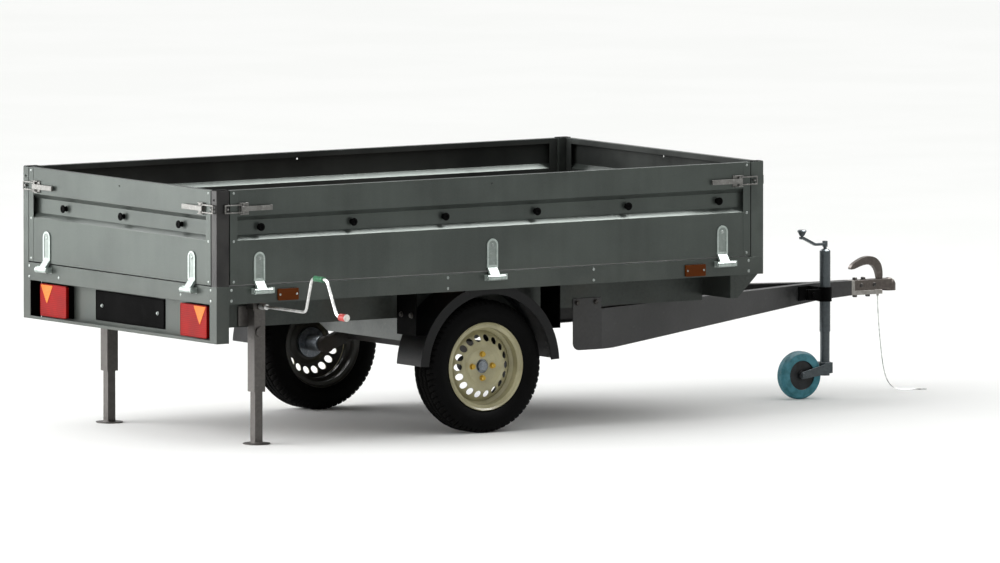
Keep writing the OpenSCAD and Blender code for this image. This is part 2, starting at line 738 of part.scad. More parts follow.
// round tube along a path that never runs parallel to the vector across
module tube_along(p, r, sides, across) {
    rings = [for (i = [0:len(p) - 1]) let (
        d = heading(p, i),
        u = cross(d, across) / norm(cross(d, across)),
        v = cross(d, u)
    ) for (k = [0:sides - 1]) p[i] + r * (cos(k * 360 / sides) * u + sin(k * 360 / sides) * v)];
    n = len(p);
    polyhedron(rings, concat(
        [[for (k = [0:sides - 1]) k]],
        [for (i = [0:n - 2], k = [0:sides - 1])
            [i * sides + k, (i + 1) * sides + k, (i + 1) * sides + (k + 1) % sides, i * sides + (k + 1) % sides]],
        [[for (k = [sides - 1:-1:0]) (n - 1) * sides + k]]
    ));
}

module safety_cable() color("#b9b9b9") tube_along(cable_points, cable_radius, 8, [0, 1, 0]);

// flat snap hook that lies on the ground at the cable's end
module cable_hook() color("#b0b0ae") {
    last = cable_points[len(cable_points) - 1];
    run = last - cable_points[len(cable_points) - 2];
    translate([last[0], last[1], last[2] - cable_radius]) rotate([0, 0, atan2(run[1], run[0])]) {
        // crimped sleeve
        translate([0, -4, 0]) cube([10, 8, 4]);
        difference() {
            union() {
                translate([14, 0, 0]) cylinder(r = 9, h = 4);
                translate([14, -9, 0]) cube([34, 18, 4]);
                translate([48, 0, 0]) cylinder(r = 9, h = 4);
            }
            translate([14, 0, -1]) cylinder(r = 4.5, h = 6);
            translate([14, -4.5, -1]) cube([34, 9, 6]);
            translate([48, 0, -1]) cylinder(r = 4.5, h = 6);
        }
    }
}

// ---- jockey wheel ----

module at_jockey() translate([jockey_x, jockey_y, 0]) children();

// Y of the right arm's outer face at a given X
function arm_side(x) = -nose_half - max(0, nose_bend_x - x) * arm_slope;

module jockey_clamp() color("#1e2022") place() {
    high = arm_top - 6;
    low = high - 60;
    r = jockey_tube_radius;
    plate_back = jockey_x - 87;
    plate_front = nose_bend_x - 6;
    difference() {
        union() {
            translate([jockey_x, jockey_y, low]) cylinder(r = r + 6, h = high - low);
            // plate along the arm's face, and the block from it to the tube
            translate([0, 0, low]) linear_extrude(high - low) {
                polygon([
                    [plate_back, arm_side(plate_back) - snug], [plate_front, arm_side(plate_front) - snug],
                    [plate_front, arm_side(plate_front) - 7], [plate_back, arm_side(plate_back) - 7]
                ]);
                polygon([
                    [jockey_x - 26, arm_side(jockey_x - 26) - 3], [jockey_x + 26, arm_side(jockey_x + 26) - 3],
                    [jockey_x + r, jockey_y], [jockey_x - r, jockey_y]
                ]);
            }
            // jaws behind the tube, with their bolt and nut
            translate([jockey_x, jockey_y, 0]) {
                for (y = [-13, 5]) translate([-r - 66, y, low + 8]) cube([r + 60, 8, high - low - 16]);
                translate([-r - 44, 0, (low + high) / 2]) rod_y(6, -20, 20);
                translate([-r - 44, 0, (low + high) / 2]) rod_y(11, -22, -10);
            }
        }
        translate([jockey_x, jockey_y, low - 1]) cylinder(r = r + running, h = high - low + 2);
    }
}

module jockey_tube() color("#3b4145") place() at_jockey() {
    translate([0, 0, jockey_tube_low]) difference() {
        cylinder(r = jockey_tube_radius, h = jockey_tube_high - jockey_tube_low);
        translate([0, 0, -1])
            cylinder(r = leg_radius + 0.5, h = jockey_tube_high - jockey_tube_low - 4);
    }
    translate([0, 0, jockey_tube_high - eps]) cylinder(r1 = jockey_tube_radius - 1, r2 = 14, h = jockey_neck + eps);
}

module jockey_handle() color("#5d6366") place() at_jockey() translate([0, 0, jockey_tube_high + jockey_neck]) {
    cylinder(r = 7, h = 12);
    translate([0, 0, 10]) cylinder(r = 11, h = 24);
    along_y(-9, 9) polygon([
        [0, 16], [-52, 16], [-112, 46], [-124, 46], [-124, 56], [-110, 56], [-50, 26], [0, 26]
    ]);
    translate([-116, 0, 55]) cylinder(r = 5, h = 5);
    translate([-116, 0, 59]) cylinder(r1 = 9, r2 = 20, h = 22);
    translate([-116, 0, 81]) cylinder(r1 = 20, r2 = 16, h = 4);
}

module jockey_leg() color("#40474b") place() at_jockey()
    translate([0, 0, jockey_diameter / 2 - 8]) difference() {
        cylinder(r = leg_radius, h = jockey_tube_high - jockey_travel - jockey_diameter / 2 - 8);
        translate([0, 0, 6])
            cylinder(r = leg_radius - 3, h = jockey_tube_high - jockey_travel - jockey_diameter / 2);
    }

fork_out = jockey_width / 2 + 5;
module jockey_fork() color("#4b5053") place() at_jockey() {
    low = jockey_diameter / 2 + 4;
    difference() {
        union() {
            translate([0, 0, low]) cylinder(r = leg_radius + 5, h = 44);
            translate([-leg_radius - 4, -fork_out - 5, low]) cube([leg_radius + 20, 2 * fork_out + 10, 44]);
        }
        translate([0, 0, low - 1]) cylinder(r = leg_radius + running, h = 46);
        // room for the wheel between the arms
        translate([-jockey_trail, 0, jockey_diameter / 2]) rod_y(jockey_diameter / 2 + 5, -fork_out, fork_out);
    }
    for (y = [-fork_out - 5, fork_out]) along_y(y, y + 5) {
        translate([-jockey_trail, jockey_diameter / 2]) circle(15);
        polygon([
            [-jockey_trail, jockey_diameter / 2 - 15], [14, low], [14, low + 40], [-6, low + 40],
            [-jockey_trail, jockey_diameter / 2 + 15]
        ]);
    }
    translate([-jockey_trail, 0, jockey_diameter / 2]) {
        rod_y(7, -fork_out - 5, fork_out + 5);
        rod_y(10, -fork_out - 11, -fork_out - 4);
        rod_y(10, fork_out + 4, fork_out + 11);
    }
}

module jockey_wheel() color("#2f7a84") place() at_jockey()
    translate([-jockey_trail, 0, jockey_diameter / 2]) rotate([90, 0, 0]) {
        r = jockey_diameter / 2;
        w = jockey_width / 2;
        rotate_extrude($fn = 96) polygon([
            [7 + running, -w - 2], [18, -w - 2], [18, -w + 9], [r - 42, -w + 7], [r - 38, -w], [r - 10, -w + 1],
            [r - 3, -w + 7], [r, -w + 14], [r, w - 14], [r - 3, w - 7], [r - 10, w - 1], [r - 38, w],
            [r - 42, w - 7], [18, w - 9], [18, w + 2], [7 + running, w + 2]
        ]);
    }

// ---- rear stands and crank ----

module stand_tubes() color("#6a6664") place() both() translate([stand_from_rear, -stand_y, 0]) {
    half = stand_tube / 2;
    bore = stand_tube - 8;
    difference() {
        translate([-half, -half, stand_low]) cube([stand_tube, stand_tube, stand_high - stand_low]);
        translate([-bore / 2, -bore / 2, stand_low + 20])
            cube([bore, bore, stand_high - stand_low - 24]);
        translate([-stand_leg / 2 - 0.5, -stand_leg / 2 - 0.5, stand_low - 1])
            cube([stand_leg + 1, stand_leg + 1, 30]);
    }
    // gear head with the spindle end for the crank
    translate([-35, -half - 4, stand_high - eps]) cube([70, stand_tube + 8, 4 + eps]);
    translate([-30, -half + 2, stand_high]) cube([60, stand_tube - 4, crank_z + 22 - stand_high]);
    translate([0, 0, crank_z]) rod_y(11, -half - 4, -half + 4);
    translate([0, 0, crank_z]) rod_y(7, -half - 26, -half);
    // round cover of the lock bolt
    translate([0, 0, crank_z - 105]) rod_y(20.5, -half - 7, -half + eps);
    // plate on the rail
    translate([-70, half, rail_bottom + 4]) cube([122, stand_plate, 82]);
}

module stand_leg_at_right() color("#716d6b") place() translate([stand_from_rear, -stand_y, 0]) {
    top = stand_high - 9 - stand_travel;
    translate([-stand_leg / 2, -stand_leg / 2, 4]) difference() {
        cube([stand_leg, stand_leg, top - 4]);
        translate([3, 3, 4]) cube([stand_leg - 6, stand_leg - 6, top]);
    }
    cylinder(r1 = foot_radius - 3, r2 = foot_radius, h = 2);
    translate([0, 0, 2]) cylinder(r = foot_radius, h = 3);
    translate([0, 0, 5 - eps]) cylinder(r1 = 27, r2 = 24, h = 5);
}

module stand_leg_right() stand_leg_at_right();
module stand_leg_left() mirror([0, 1, 0]) stand_leg_at_right();

// brace-shaped crank, plugged onto the right stand's spindle
crank_start = -stand_y - stand_tube / 2 - 6;
crank_rise = 143;
crank_corners = [
    [0, crank_start - 40, 0], [0, crank_start - 339, 0], [0, crank_start - 385, crank_rise],
    [0, crank_start - 496, crank_rise], [0, crank_start - 570, 0], [0, crank_start - 599, 0]
];

// path with rounded corners: each corner becomes a curve of n + 1 points that starts r before it
function rounded(p, r, n) = [
    p[0],
    for (i = [1:len(p) - 2], k = [0:n]) let (
        a = p[i] + r * (p[i - 1] - p[i]) / norm(p[i - 1] - p[i]),
        b = p[i] + r * (p[i + 1] - p[i]) / norm(p[i + 1] - p[i]),
        t = k / n
    ) (1 - t) * (1 - t) * a + 2 * t * (1 - t) * p[i] + t * t * b,
    p[len(p) - 1]
];

module at_crank() translate([stand_from_rear, 0, crank_z]) children();

module stand_crank() color("#dcdcda") place() at_crank() {
    tube_along(rounded(crank_corners, 22, 5), crank_radius, 12, [1, 0, 0]);
    difference() {
        rod_y(12, crank_start - 46, crank_start);
        rod_y(7 + running, crank_start - 24, crank_start + 1);
    }
}

module crank_grip() color("#2f6b45") place() at_crank() {
    difference() {
        translate([0, 0, crank_rise]) rod_y(12, crank_corners[3][1] + 24, crank_corners[2][1] - 24);
        translate([0, 0, crank_rise]) rod_y(crank_radius + running, crank_corners[3][1], crank_corners[2][1]);
    }
    rod_y(15, crank_corners[5][1] - 45, crank_corners[5][1]);
}

floor_board();
side_sills();
end_sills();
corner_brackets();
cross_members();
front_member();
chassis_rails();
light_panel();
lamp_housings();
lamp_lenses();
number_plate();
side_reflectors();
corner_posts();
post_caps();
latch_studs();
hinge_carriers();
side_right();
hinges_right();
latches_right();
side_left();
hinges_left();
latches_left();
tailboard();
hinges_rear();
latches_rear();
headboard();
hinges_front();
latches_front();
axle_carrier();
axle_beam();
axle_arms();
mudguards();
mudguard_brackets();
hub_right();
rim_right();
tyre_right();
hub_left();
rim_left();
tyre_left();
drawbar_arms();
coupling_nose();
coupling_body();
coupling_handle();
safety_cable();
cable_hook();
jockey_clamp();
jockey_tube();
jockey_handle();
jockey_leg();
jockey_fork();
jockey_wheel();
stand_tubes();
stand_leg_right();
stand_leg_left();
stand_crank();
crank_grip();
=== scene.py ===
import bmesh
import bpy
import json
import math
import numpy as np
from mathutils import Matrix, Vector


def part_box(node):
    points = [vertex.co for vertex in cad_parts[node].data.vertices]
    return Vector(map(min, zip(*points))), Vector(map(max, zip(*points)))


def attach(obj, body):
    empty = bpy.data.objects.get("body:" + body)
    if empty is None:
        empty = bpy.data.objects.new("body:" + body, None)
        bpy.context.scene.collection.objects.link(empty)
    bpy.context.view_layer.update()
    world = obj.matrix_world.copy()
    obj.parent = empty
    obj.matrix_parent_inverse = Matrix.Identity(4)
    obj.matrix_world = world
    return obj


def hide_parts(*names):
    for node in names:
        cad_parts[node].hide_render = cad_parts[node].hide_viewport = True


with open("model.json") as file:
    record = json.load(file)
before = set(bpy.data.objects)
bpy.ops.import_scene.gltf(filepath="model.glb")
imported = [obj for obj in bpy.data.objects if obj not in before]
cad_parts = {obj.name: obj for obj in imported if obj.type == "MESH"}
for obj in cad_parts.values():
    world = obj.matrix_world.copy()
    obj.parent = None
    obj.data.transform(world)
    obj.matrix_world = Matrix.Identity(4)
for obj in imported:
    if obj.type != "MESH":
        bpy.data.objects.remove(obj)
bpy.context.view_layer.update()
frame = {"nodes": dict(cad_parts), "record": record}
scene = bpy.context.scene
print("frame loaded,", len(frame["nodes"]), "nodes")

# a very long lens from far away, so that parallel edges stay parallel
look = {"azimuth": -33.4, "elevation": 5.06, "lens": 800.0, "distance": 91.8, "target": (0.517, 0.0, 0.5477)}


def addCamera(look):
    turn, rise = math.radians(look["azimuth"]), math.radians(look["elevation"])
    back = Vector((math.sin(turn) * math.cos(rise), -math.cos(turn) * math.cos(rise), math.sin(rise)))
    data = bpy.data.cameras.new("camera")
    data.lens = look["lens"]
    data.clip_start, data.clip_end = 1.0, 300.0
    camera = bpy.data.objects.new("camera", data)
    camera.location = Vector(look["target"]) + back * look["distance"]
    camera.rotation_euler = (-back).to_track_quat("-Z", "Y").to_euler()
    scene.collection.objects.link(camera)
    scene.camera = camera


addCamera(look)
print("camera placed")


# A shell is a pair: points as an array (n, 3) and faces as an array (m, 4) of their numbers.

def gridShell(points, wrapRows=False, wrapColumns=False):
    # quads between neighbours of a grid (rows, columns, 3); a wrapped side joins its last line to its first
    rows, columns = points.shape[:2]
    number = np.arange(rows * columns).reshape(rows, columns)
    if wrapRows:
        number = np.vstack([number, number[:1]])
    if wrapColumns:
        number = np.hstack([number, number[:, :1]])
    faces = np.stack([number[:-1, :-1], number[:-1, 1:], number[1:, 1:], number[1:, :-1]], -1)
    return points.reshape(-1, 3), faces.reshape(-1, 4)


def turned(profile, steps):
    # each (radius, height) of the profile goes round Z: x = r cos a, y = r sin a, z = h
    profile = np.array(profile, float)
    angle = np.arange(steps) * 2 * math.pi / steps
    x = profile[:, :1] * np.cos(angle)
    y = profile[:, :1] * np.sin(angle)
    z = np.repeat(profile[:, 1:], steps, 1)
    return gridShell(np.stack([x, y, z], -1), False, True)


def carried(path, radius, sides, twist=None):
    # rings of the given radius stand across the path: point + r (cos a u + sin a v),
    # with u and v at right angles to the direction of the path; both ends shrink to a point
    path = np.array(path, float)
    along = np.gradient(path, axis=0)
    along /= np.linalg.norm(along, axis=1, keepdims=True)
    least = np.eye(3)[np.argmin(np.abs(along).max(0))]
    u = np.cross(along, least)
    u /= np.linalg.norm(u, axis=1, keepdims=True)
    v = np.cross(along, u)
    angle = np.arange(sides) * 2 * math.pi / sides
    size = radius if twist is None else radius * twist(np.linspace(0, 1, len(path))[:, None], angle)
    ring = size * np.ones((len(path), sides))
    points = path[:, None] + ring[..., None] * (
        np.cos(angle)[None, :, None] * u[:, None] + np.sin(angle)[None, :, None] * v[:, None])
    start, end = (np.repeat(tip, sides, 1) for tip in (path[:1, None], path[-1:, None]))
    return gridShell(np.concatenate([start, points, end]), False, True)


def pillow(size, rows, columns, square):
    # superellipse outline, z falls from the full height to 0 near the edge:
    # x = a s sgn(cos) |cos|^(2/n), y likewise with sin, z = h (1 - s^n)^(1/n), closed by a flat bottom
    share = np.sin(np.linspace(0, 1, rows) * math.pi / 2)[:, None]
    angle = (np.arange(columns) * 2 * math.pi / columns)[None]
    power = 2 / square
    x = size[0] / 2 * share * np.sign(np.cos(angle)) * np.abs(np.cos(angle)) ** power
    y = size[1] / 2 * share * np.sign(np.sin(angle)) * np.abs(np.sin(angle)) ** power
    z = size[2] * (1 - np.clip(share, 0, 1) ** square) ** (1 / square) + 0 * angle
    top = np.stack([x, y, z], -1)
    points = np.concatenate([top, np.zeros((1, columns, 3))])
    return gridShell(points, False, True)


def standing(origin, outwards, up=(0, 0, 1)):
    # matrix that stands a shell's Z along outwards, with its Y towards up
    z = Vector(outwards).normalized()
    x = Vector(up).cross(z)
    if x.length < 1e-6:
        x = Vector((1, 0, 0)).cross(z)
    x.normalize()
    y = z.cross(x)
    return np.array(Matrix((
        (x.x, y.x, z.x, origin[0]), (x.y, y.y, z.y, origin[1]), (x.z, y.z, z.z, origin[2]), (0, 0, 0, 1))))


def copied(shell, places):
    # the shell once at each matrix, with the face numbers shifted along
    points, faces = shell
    places = np.array(places)
    moved = np.einsum("kij,nj->kni", places[:, :3, :3], points) + places[:, None, :3, 3]
    shift = np.arange(len(places))[:, None, None] * len(points)
    return moved.reshape(-1, 3), (faces[None] + shift).reshape(-1, 4)


def joined(shells):
    # several shells as one, with the face numbers of each shifted past those before it
    points, faces, count = [], [], 0
    for p, f in shells:
        points.append(p)
        faces.append(f + count)
        count += len(p)
    return np.concatenate(points), np.concatenate(faces)


def addPiece(name, shell, finish, body, crease=35.0):
    # the shell becomes a mesh; doubled points at poles are merged and the faces turned outwards
    points, faces = shell
    mesh = bpy.data.meshes.new(name)
    mesh.from_pydata(points.tolist(), [], faces.tolist())
    work = bmesh.new()
    work.from_mesh(mesh)
    bmesh.ops.remove_doubles(work, verts=work.verts, dist=1e-6)
    bmesh.ops.dissolve_degenerate(work, edges=work.edges, dist=1e-7)
    bmesh.ops.recalc_face_normals(work, faces=work.faces)
    work.to_mesh(mesh)
    work.free()
    mesh.shade_smooth()
    mesh.set_sharp_from_angle(angle=math.radians(crease))
    mesh.materials.append(finish)
    piece = bpy.data.objects.new(name, mesh)
    scene.collection.objects.link(piece)
    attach(piece, body)
    return piece


def tone(code):
    # linear colour of a six-digit screen code
    parts = [int(code[i:i + 2], 16) / 255 for i in (0, 2, 4)]
    return tuple(((c + 0.055) / 1.055) ** 2.4 if c > 0.04 else c / 12.92 for c in parts) + (1.0,)


class Signal:
    # one output socket; arithmetic on it adds Math nodes
    def __init__(self, maker, socket):
        self.maker = maker
        self.socket = socket

    def reckon(self, operation, first, second):
        return self.maker.node("ShaderNodeMath", {"operation": operation}, {0: first, 1: second})

    def __add__(self, other):
        return self.reckon("ADD", self, other)

    def __sub__(self, other):
        return self.reckon("SUBTRACT", self, other)

    def __rsub__(self, other):
        return self.reckon("SUBTRACT", other, self)

    def __mul__(self, other):
        return self.reckon("MULTIPLY", self, other)

    def __truediv__(self, other):
        return self.reckon("DIVIDE", self, other)

    __radd__ = __add__
    __rmul__ = __mul__


class Finish:
    # one material: a Principled shader and the nodes that feed it
    def __init__(self, name, **constants):
        self.material = bpy.data.materials.new(name)
        self.material.use_nodes = True
        self.tree = self.material.node_tree
        self.tree.nodes.clear()
        self.shader = self.tree.nodes.new("ShaderNodeBsdfPrincipled")
        end = self.tree.nodes.new("ShaderNodeOutputMaterial")
        self.tree.links.new(self.shader.outputs["BSDF"], end.inputs["Surface"])
        for socket, value in constants.items():
            self.shader.inputs[socket.replace("_", " ")].default_value = value
        self.spot = self.node("ShaderNodeTexCoord", {}, {}, "Object")

    def node(self, kind, settings, sockets, output=0):
        made = self.tree.nodes.new(kind)
        for key, value in settings.items():
            setattr(made, key, value)
        for key, value in sockets.items():
            if isinstance(value, Signal):
                self.tree.links.new(value.socket, made.inputs[key])
            else:
                made.inputs[key].default_value = value
        return Signal(self, made.outputs[output])

    def noise(self, scale, detail=3.0, stretch=(1, 1, 1), low=0.35, high=0.65):
        spot = self.node("ShaderNodeMapping", {}, {"Vector": self.spot, "Scale": stretch})
        grey = self.node("ShaderNodeTexNoise", {}, {"Vector": spot, "Scale": scale, "Detail": detail})
        return self.step(grey, low, high)

    def cells(self, scale, feature="F1"):
        sockets = {"Vector": self.spot, "Scale": scale}
        return self.node("ShaderNodeTexVoronoi", {"feature": feature}, sockets, "Distance")

    def step(self, value, low, high):
        return self.node("ShaderNodeMapRange", {"interpolation_type": "SMOOTHSTEP"},
                         {"Value": value, "From Min": low, "From Max": high})

    def axis(self, output):
        return self.node("ShaderNodeSeparateXYZ", {}, {"Vector": self.spot}, output)

    def away(self, centre, flat):
        # distance from a line through centre that runs along the flattened axis
        moved = self.node("ShaderNodeVectorMath", {"operation": "SUBTRACT"}, {0: self.spot, 1: centre})
        kept = self.node("ShaderNodeVectorMath", {"operation": "MULTIPLY"}, {0: moved, 1: flat})
        return self.node("ShaderNodeVectorMath", {"operation": "LENGTH"}, {0: kept}, "Value")

    def sign(self, value):
        return self.node("ShaderNodeMath", {"operation": "SIGN"}, {0: value})

    def size(self, value):
        return self.node("ShaderNodeMath", {"operation": "ABSOLUTE"}, {0: value})

    def mix(self, share, first, second):
        return self.node("ShaderNodeMix", {"data_type": "RGBA"}, {0: share, 6: first, 7: second}, 2)

    def blend(self, share, codes):
        # from the first coded tone to the second
        return self.mix(share, tone(codes[0]), tone(codes[1]))

    def put(self, socket, value):
        if isinstance(value, Signal):
            self.tree.links.new(value.socket, self.shader.inputs[socket])
        else:
            self.shader.inputs[socket].default_value = value

    def relief(self, height, depth, edge=0.0012):
        sockets = {"Height": height, "Distance": depth, "Strength": 1.0}
        if edge:  # light catches on softened edges
            sockets["Normal"] = self.node("ShaderNodeBevel", {"samples": 4}, {"Radius": edge})
        self.put("Normal", self.node("ShaderNodeBump", {}, sockets))

    def done(self, colour, rough):
        self.put("Base Color", colour)
        self.put("Roughness", rough)
        return self.material


# for the painted shade on inward faces: how deep a side wall reaches in from the bed's edge, and how far a
# face may turn aside or up
wallForm = {"depth": (0.045, 0.04), "aside": (0.2, 0.5), "upward": (0.3, 0.6)}


def inwardShadeMask(f, bedMiddle):
    # painted shade mask: 1 where a wall of the bed faces inwards, 0 on its outside and on slopes that look up
    x, y = f.axis(0) - bedMiddle[0], f.axis(1)
    normal = f.node("ShaderNodeTexCoord", {}, {}, "Normal")
    across = [f.node("ShaderNodeSeparateXYZ", {}, {"Vector": normal}, i) for i in range(3)]
    sideWall = f.step(f.size(y), *(bedMiddle[1] - depth for depth in wallForm["depth"]))
    inY = f.step(0 - across[1] * f.sign(y), *wallForm["aside"]) * sideWall
    inX = f.step(0 - across[0] * f.sign(x), *wallForm["aside"]) * (1 - sideWall)
    return (inX + inY) * (1 - f.step(across[2], *wallForm["upward"]))


# pattern sizes of the pressed sheet, in turns for a metre, and the tones that all sheets share; the inner
# pair is painted shade for faces turned inwards
sheet = {
    "marks": 22.0, "rolled": 420.0, "grain": 260.0, "speck": 500.0, "dust": 9.0, "dustRise": 0.12,
    "dustTone": "4d4a45", "inner": ("2f3130", "414442"), "relief": 0.00006,
    "cornerX": (-1.2, -1.1), "cornerY": (-0.1, 0.1),
}


def zincSheet(name, look):
    # pressed sheet: faint clouds, fine rolling lines, a little road dust low down, painted shade on the faces
    # turned inwards
    f = Finish(name)
    cloud = f.noise(look["cloud"], 5.0)
    marks = f.noise(sheet["marks"], 3.0, (1, 1, 0.05))
    rolled = f.noise(sheet["rolled"], 2.0, (0.03, 0.03, 1))
    grain = f.cells(sheet["grain"])
    speck = f.noise(sheet["speck"], 2.0)
    clean = f.blend(cloud * 0.55 + marks * 0.15 + speck * 0.3, (look["dark"], look["light"]))
    raised = f.step(f.axis(2), look["dustTop"] - sheet["dustRise"], look["dustTop"])
    dust = (1 - raised) * f.noise(sheet["dust"], 4.0) * 0.2
    colour = f.mix(dust, clean, tone(sheet["dustTone"]))
    low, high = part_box("side_sills")
    # painted shade: faces turned into the bed take the darker inner tones, while upward slopes stay lit
    inside = inwardShadeMask(f, ((low.x + high.x) / 2, high.y)) * look["insideShade"]
    colour = f.mix(inside, colour, f.blend(cloud, sheet["inner"]))
    if "corner" in look:  # painted shade: the rear-right post takes a darker neutral grey, standing in for its dimmer reflection
        shadedPost = (1 - f.step(f.axis(0), *sheet["cornerX"])) * (1 - f.step(f.axis(1), *sheet["cornerY"]))
        colour = f.mix(shadedPost, colour, f.blend(cloud, look["corner"]))
    f.put("Metallic", look["metal"] * (1 - inside * 0.1))
    f.relief(rolled * 0.6 + grain * 0.4, sheet["relief"])
    return f.done(colour, look["rough"] + cloud * 0.05 + marks * 0.03 + dust * 0.4)


# shaded field of a hinge strap: its height above the side's face, where it starts above ground, and its tone
strapField = {"above": (0.0, 0.001), "below": (0.0036, 0.0044), "foot": (0.69, 0.70), "tone": "4a504c"}


def zincPlate(name, look):
    # small plated fitting: mottled crystals, rubbed bright in places
    f = Finish(name, Metallic=look["metal"])
    crystals = f.cells(look["crystal"])
    cloud = f.noise(35.0, 4.0)
    rubbed = f.noise(90.0, 2.0, low=0.55, high=0.7)
    plain = f.blend(cloud * 0.6 + crystals * 0.6, (look["dark"], look["light"]))
    shown = f.mix(rubbed * 0.35, plain, tone(look["rub"]))
    if "inset" in look:  # the field inside a strap's raised rim is shaded
        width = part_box("side_sills")[1].y
        rear, front = (end.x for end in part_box("end_sills"))
        reach = f.size(f.axis(0) - (rear + front) / 2) - (front - rear) / 2
        out = f.node("ShaderNodeMath", {"operation": "MAXIMUM"}, {0: f.size(f.axis(1)) - width, 1: reach})
        field = (1 - f.step(out, *strapField["below"])) * f.step(out, *strapField["above"])
        field = field * f.step(f.axis(2), *strapField["foot"])
        shown = f.mix(field * look["inset"], shown, tone(strapField["tone"]))
    f.relief(crystals * 0.5 + cloud * 0.5, 0.00012, 0.0009)
    return f.done(shown, look["rough"] + cloud * 0.12 - rubbed * 0.06)


def dippedSteel(name, look):
    # heavy member: dull mottled coat with small scuffs and patches of dirt
    f = Finish(name, Metallic=look["metal"])
    cloud = f.noise(5.5, 6.0)
    mottle = f.noise(75.0, 4.0)
    scuff = f.noise(55.0, 4.0, (0.3, 1, 1), 0.62, 0.76)
    plain = f.blend(cloud * 0.5 + mottle * 0.5, (look["dark"], look["light"]))
    worn = f.mix(scuff * 0.25, plain, tone(look["rub"]))
    dirt = f.noise(3.1, 5.0, low=0.5, high=0.75) * look["dirt"]
    f.relief(mottle * 0.7 + cloud * 0.3, 0.00018, 0.0016)
    rough = look["rough"] + mottle * 0.14 + dirt * 0.2 - scuff * 0.08
    return f.done(f.mix(dirt, worn, tone("4d463d")), rough)


# how near the wheel's middle the painted shade behind the disc starts, and how far a face turns inwards
# before it counts as back
rimBackShade = {"near": 0.004, "turn": (0.05, 0.3), "tone": "141413"}


def castPaint(name, look):
    # sprayed paint over steel: fine orange peel, dust on it, bare chips; painted shade makes it nearly black
    # behind the disc and on faces turned inwards
    f = Finish(name, Coat_Weight=look["coat"], Coat_Roughness=0.25)
    peel = f.noise(380.0, 2.0)
    cloud = f.noise(11.0, 4.0)
    chips = f.noise(170.0, 3.0, low=0.69, high=0.74)
    film = f.noise(6.0, 6.0, low=0.45, high=0.8)
    plain = f.blend(cloud, (look["dark"], look["light"]))
    dusty = f.mix(film * look["dust"], plain, tone("9a917f"))
    y = f.axis(1)
    turn = f.node("ShaderNodeTexCoord", {}, {}, "Normal")
    outward = f.node("ShaderNodeSeparateXYZ", {}, {"Vector": turn}, 1) * f.sign(y)
    middle = sum(c.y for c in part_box("rim_left")) / 2
    # painted shade: the back of the disc and faces turned inwards go nearly black
    behind = 1 - f.step(f.size(y), middle - rimBackShade["near"], middle)
    inwards = f.step(0 - outward, *rimBackShade["turn"])
    back = f.node("ShaderNodeMath", {"operation": "MAXIMUM"}, {0: behind, 1: inwards})
    shown = f.mix(back * 0.96, f.mix(chips * 0.7, dusty, tone(look["chip"])), tone(rimBackShade["tone"]))
    f.put("Metallic", chips * 0.6)
    f.relief(peel * 0.6 - chips * 0.8, 0.00012, 0.0012)
    return f.done(shown, look["rough"] + film * 0.18 + back * 0.2)


def mouldedPlastic(name, look):
    # pebbled mould grain, paler where it is rubbed
    f = Finish(name, Specular_IOR_Level=look["gloss"])
    grain = f.cells(look["grain"])
    cloud = f.noise(7.0, 5.0)
    rub = f.noise(26.0, 4.0, (1, 1, 0.4), 0.56, 0.75)
    colour = f.blend(cloud * 0.6 + rub * 0.5, (look["dark"], look["light"]))
    f.relief(grain, look["depth"], 0.0015)
    return f.done(colour, look["rough"] + cloud * 0.1 - rub * 0.08)


# tread starts at these distances from the axle; rings are waves of the sidewall for a metre
rubber = {"tread": (0.258, 0.268), "rings": 95.0, "wall": ("030303", "0a0a0b"), "worn": ("050505", "131211")}


def tyreRubber(name):
    # near-black sidewall with a pale bloom, dust in the tread
    wheel = [sum(c) / 2 for c in zip(*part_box("tyre_right"))]
    f = Finish(name, Specular_IOR_Level=0.07)
    out = f.away((wheel[0], 0, wheel[2]), (1, 0, 1))
    tread = f.step(out, *rubber["tread"])
    bloom = f.noise(14.0, 5.0)
    grit = f.noise(260.0, 3.0)
    rings = f.node("ShaderNodeTexWave", {"wave_type": "RINGS", "rings_direction": "Y"}, {
        "Vector": f.node("ShaderNodeMapping", {}, {"Vector": f.spot, "Location": (-wheel[0], 0, -wheel[2])}),
        "Scale": rubber["rings"], "Distortion": 0.0})
    wall = f.blend(bloom * 0.5, rubber["wall"])
    worn = f.blend(bloom * 0.35 + grit * 0.3, rubber["worn"])
    f.relief(grit * 0.5 + rings * (1 - tread) * 0.35, 0.00035, 0.0)
    return f.done(f.mix(tread, wall, worn), 0.55 + tread * 0.22 + bloom * 0.1)


def lensPlastic(name, look):
    # clear coloured moulding with small optic cushions under the skin
    f = Finish(name, Coat_Weight=look["coat"], Coat_Roughness=0.12, Specular_IOR_Level=0.08)
    y, z = f.axis(1), f.axis(2)
    across = f.node("ShaderNodeMath", {"operation": "PINGPONG"}, {0: y, 1: look["pitch"]}) / look["pitch"]
    upward = f.node("ShaderNodeMath", {"operation": "PINGPONG"}, {0: z, 1: look["pitch"]}) / look["pitch"]
    cushion = (1 - across * across) * (1 - upward * upward)
    depth = f.noise(9.0, 3.0)
    f.relief(cushion, 0.0004, 0.0015)
    colour = f.blend(cushion * 0.55 + depth * 0.3, (look["dark"], look["light"]))
    return f.done(colour, 0.3 + depth * 0.08)


board = {"mesh": 190.0, "line": (0.02, 0.12), "grain": ("3a2a1e", "6a5240"), "scuff": "8d7a66"}


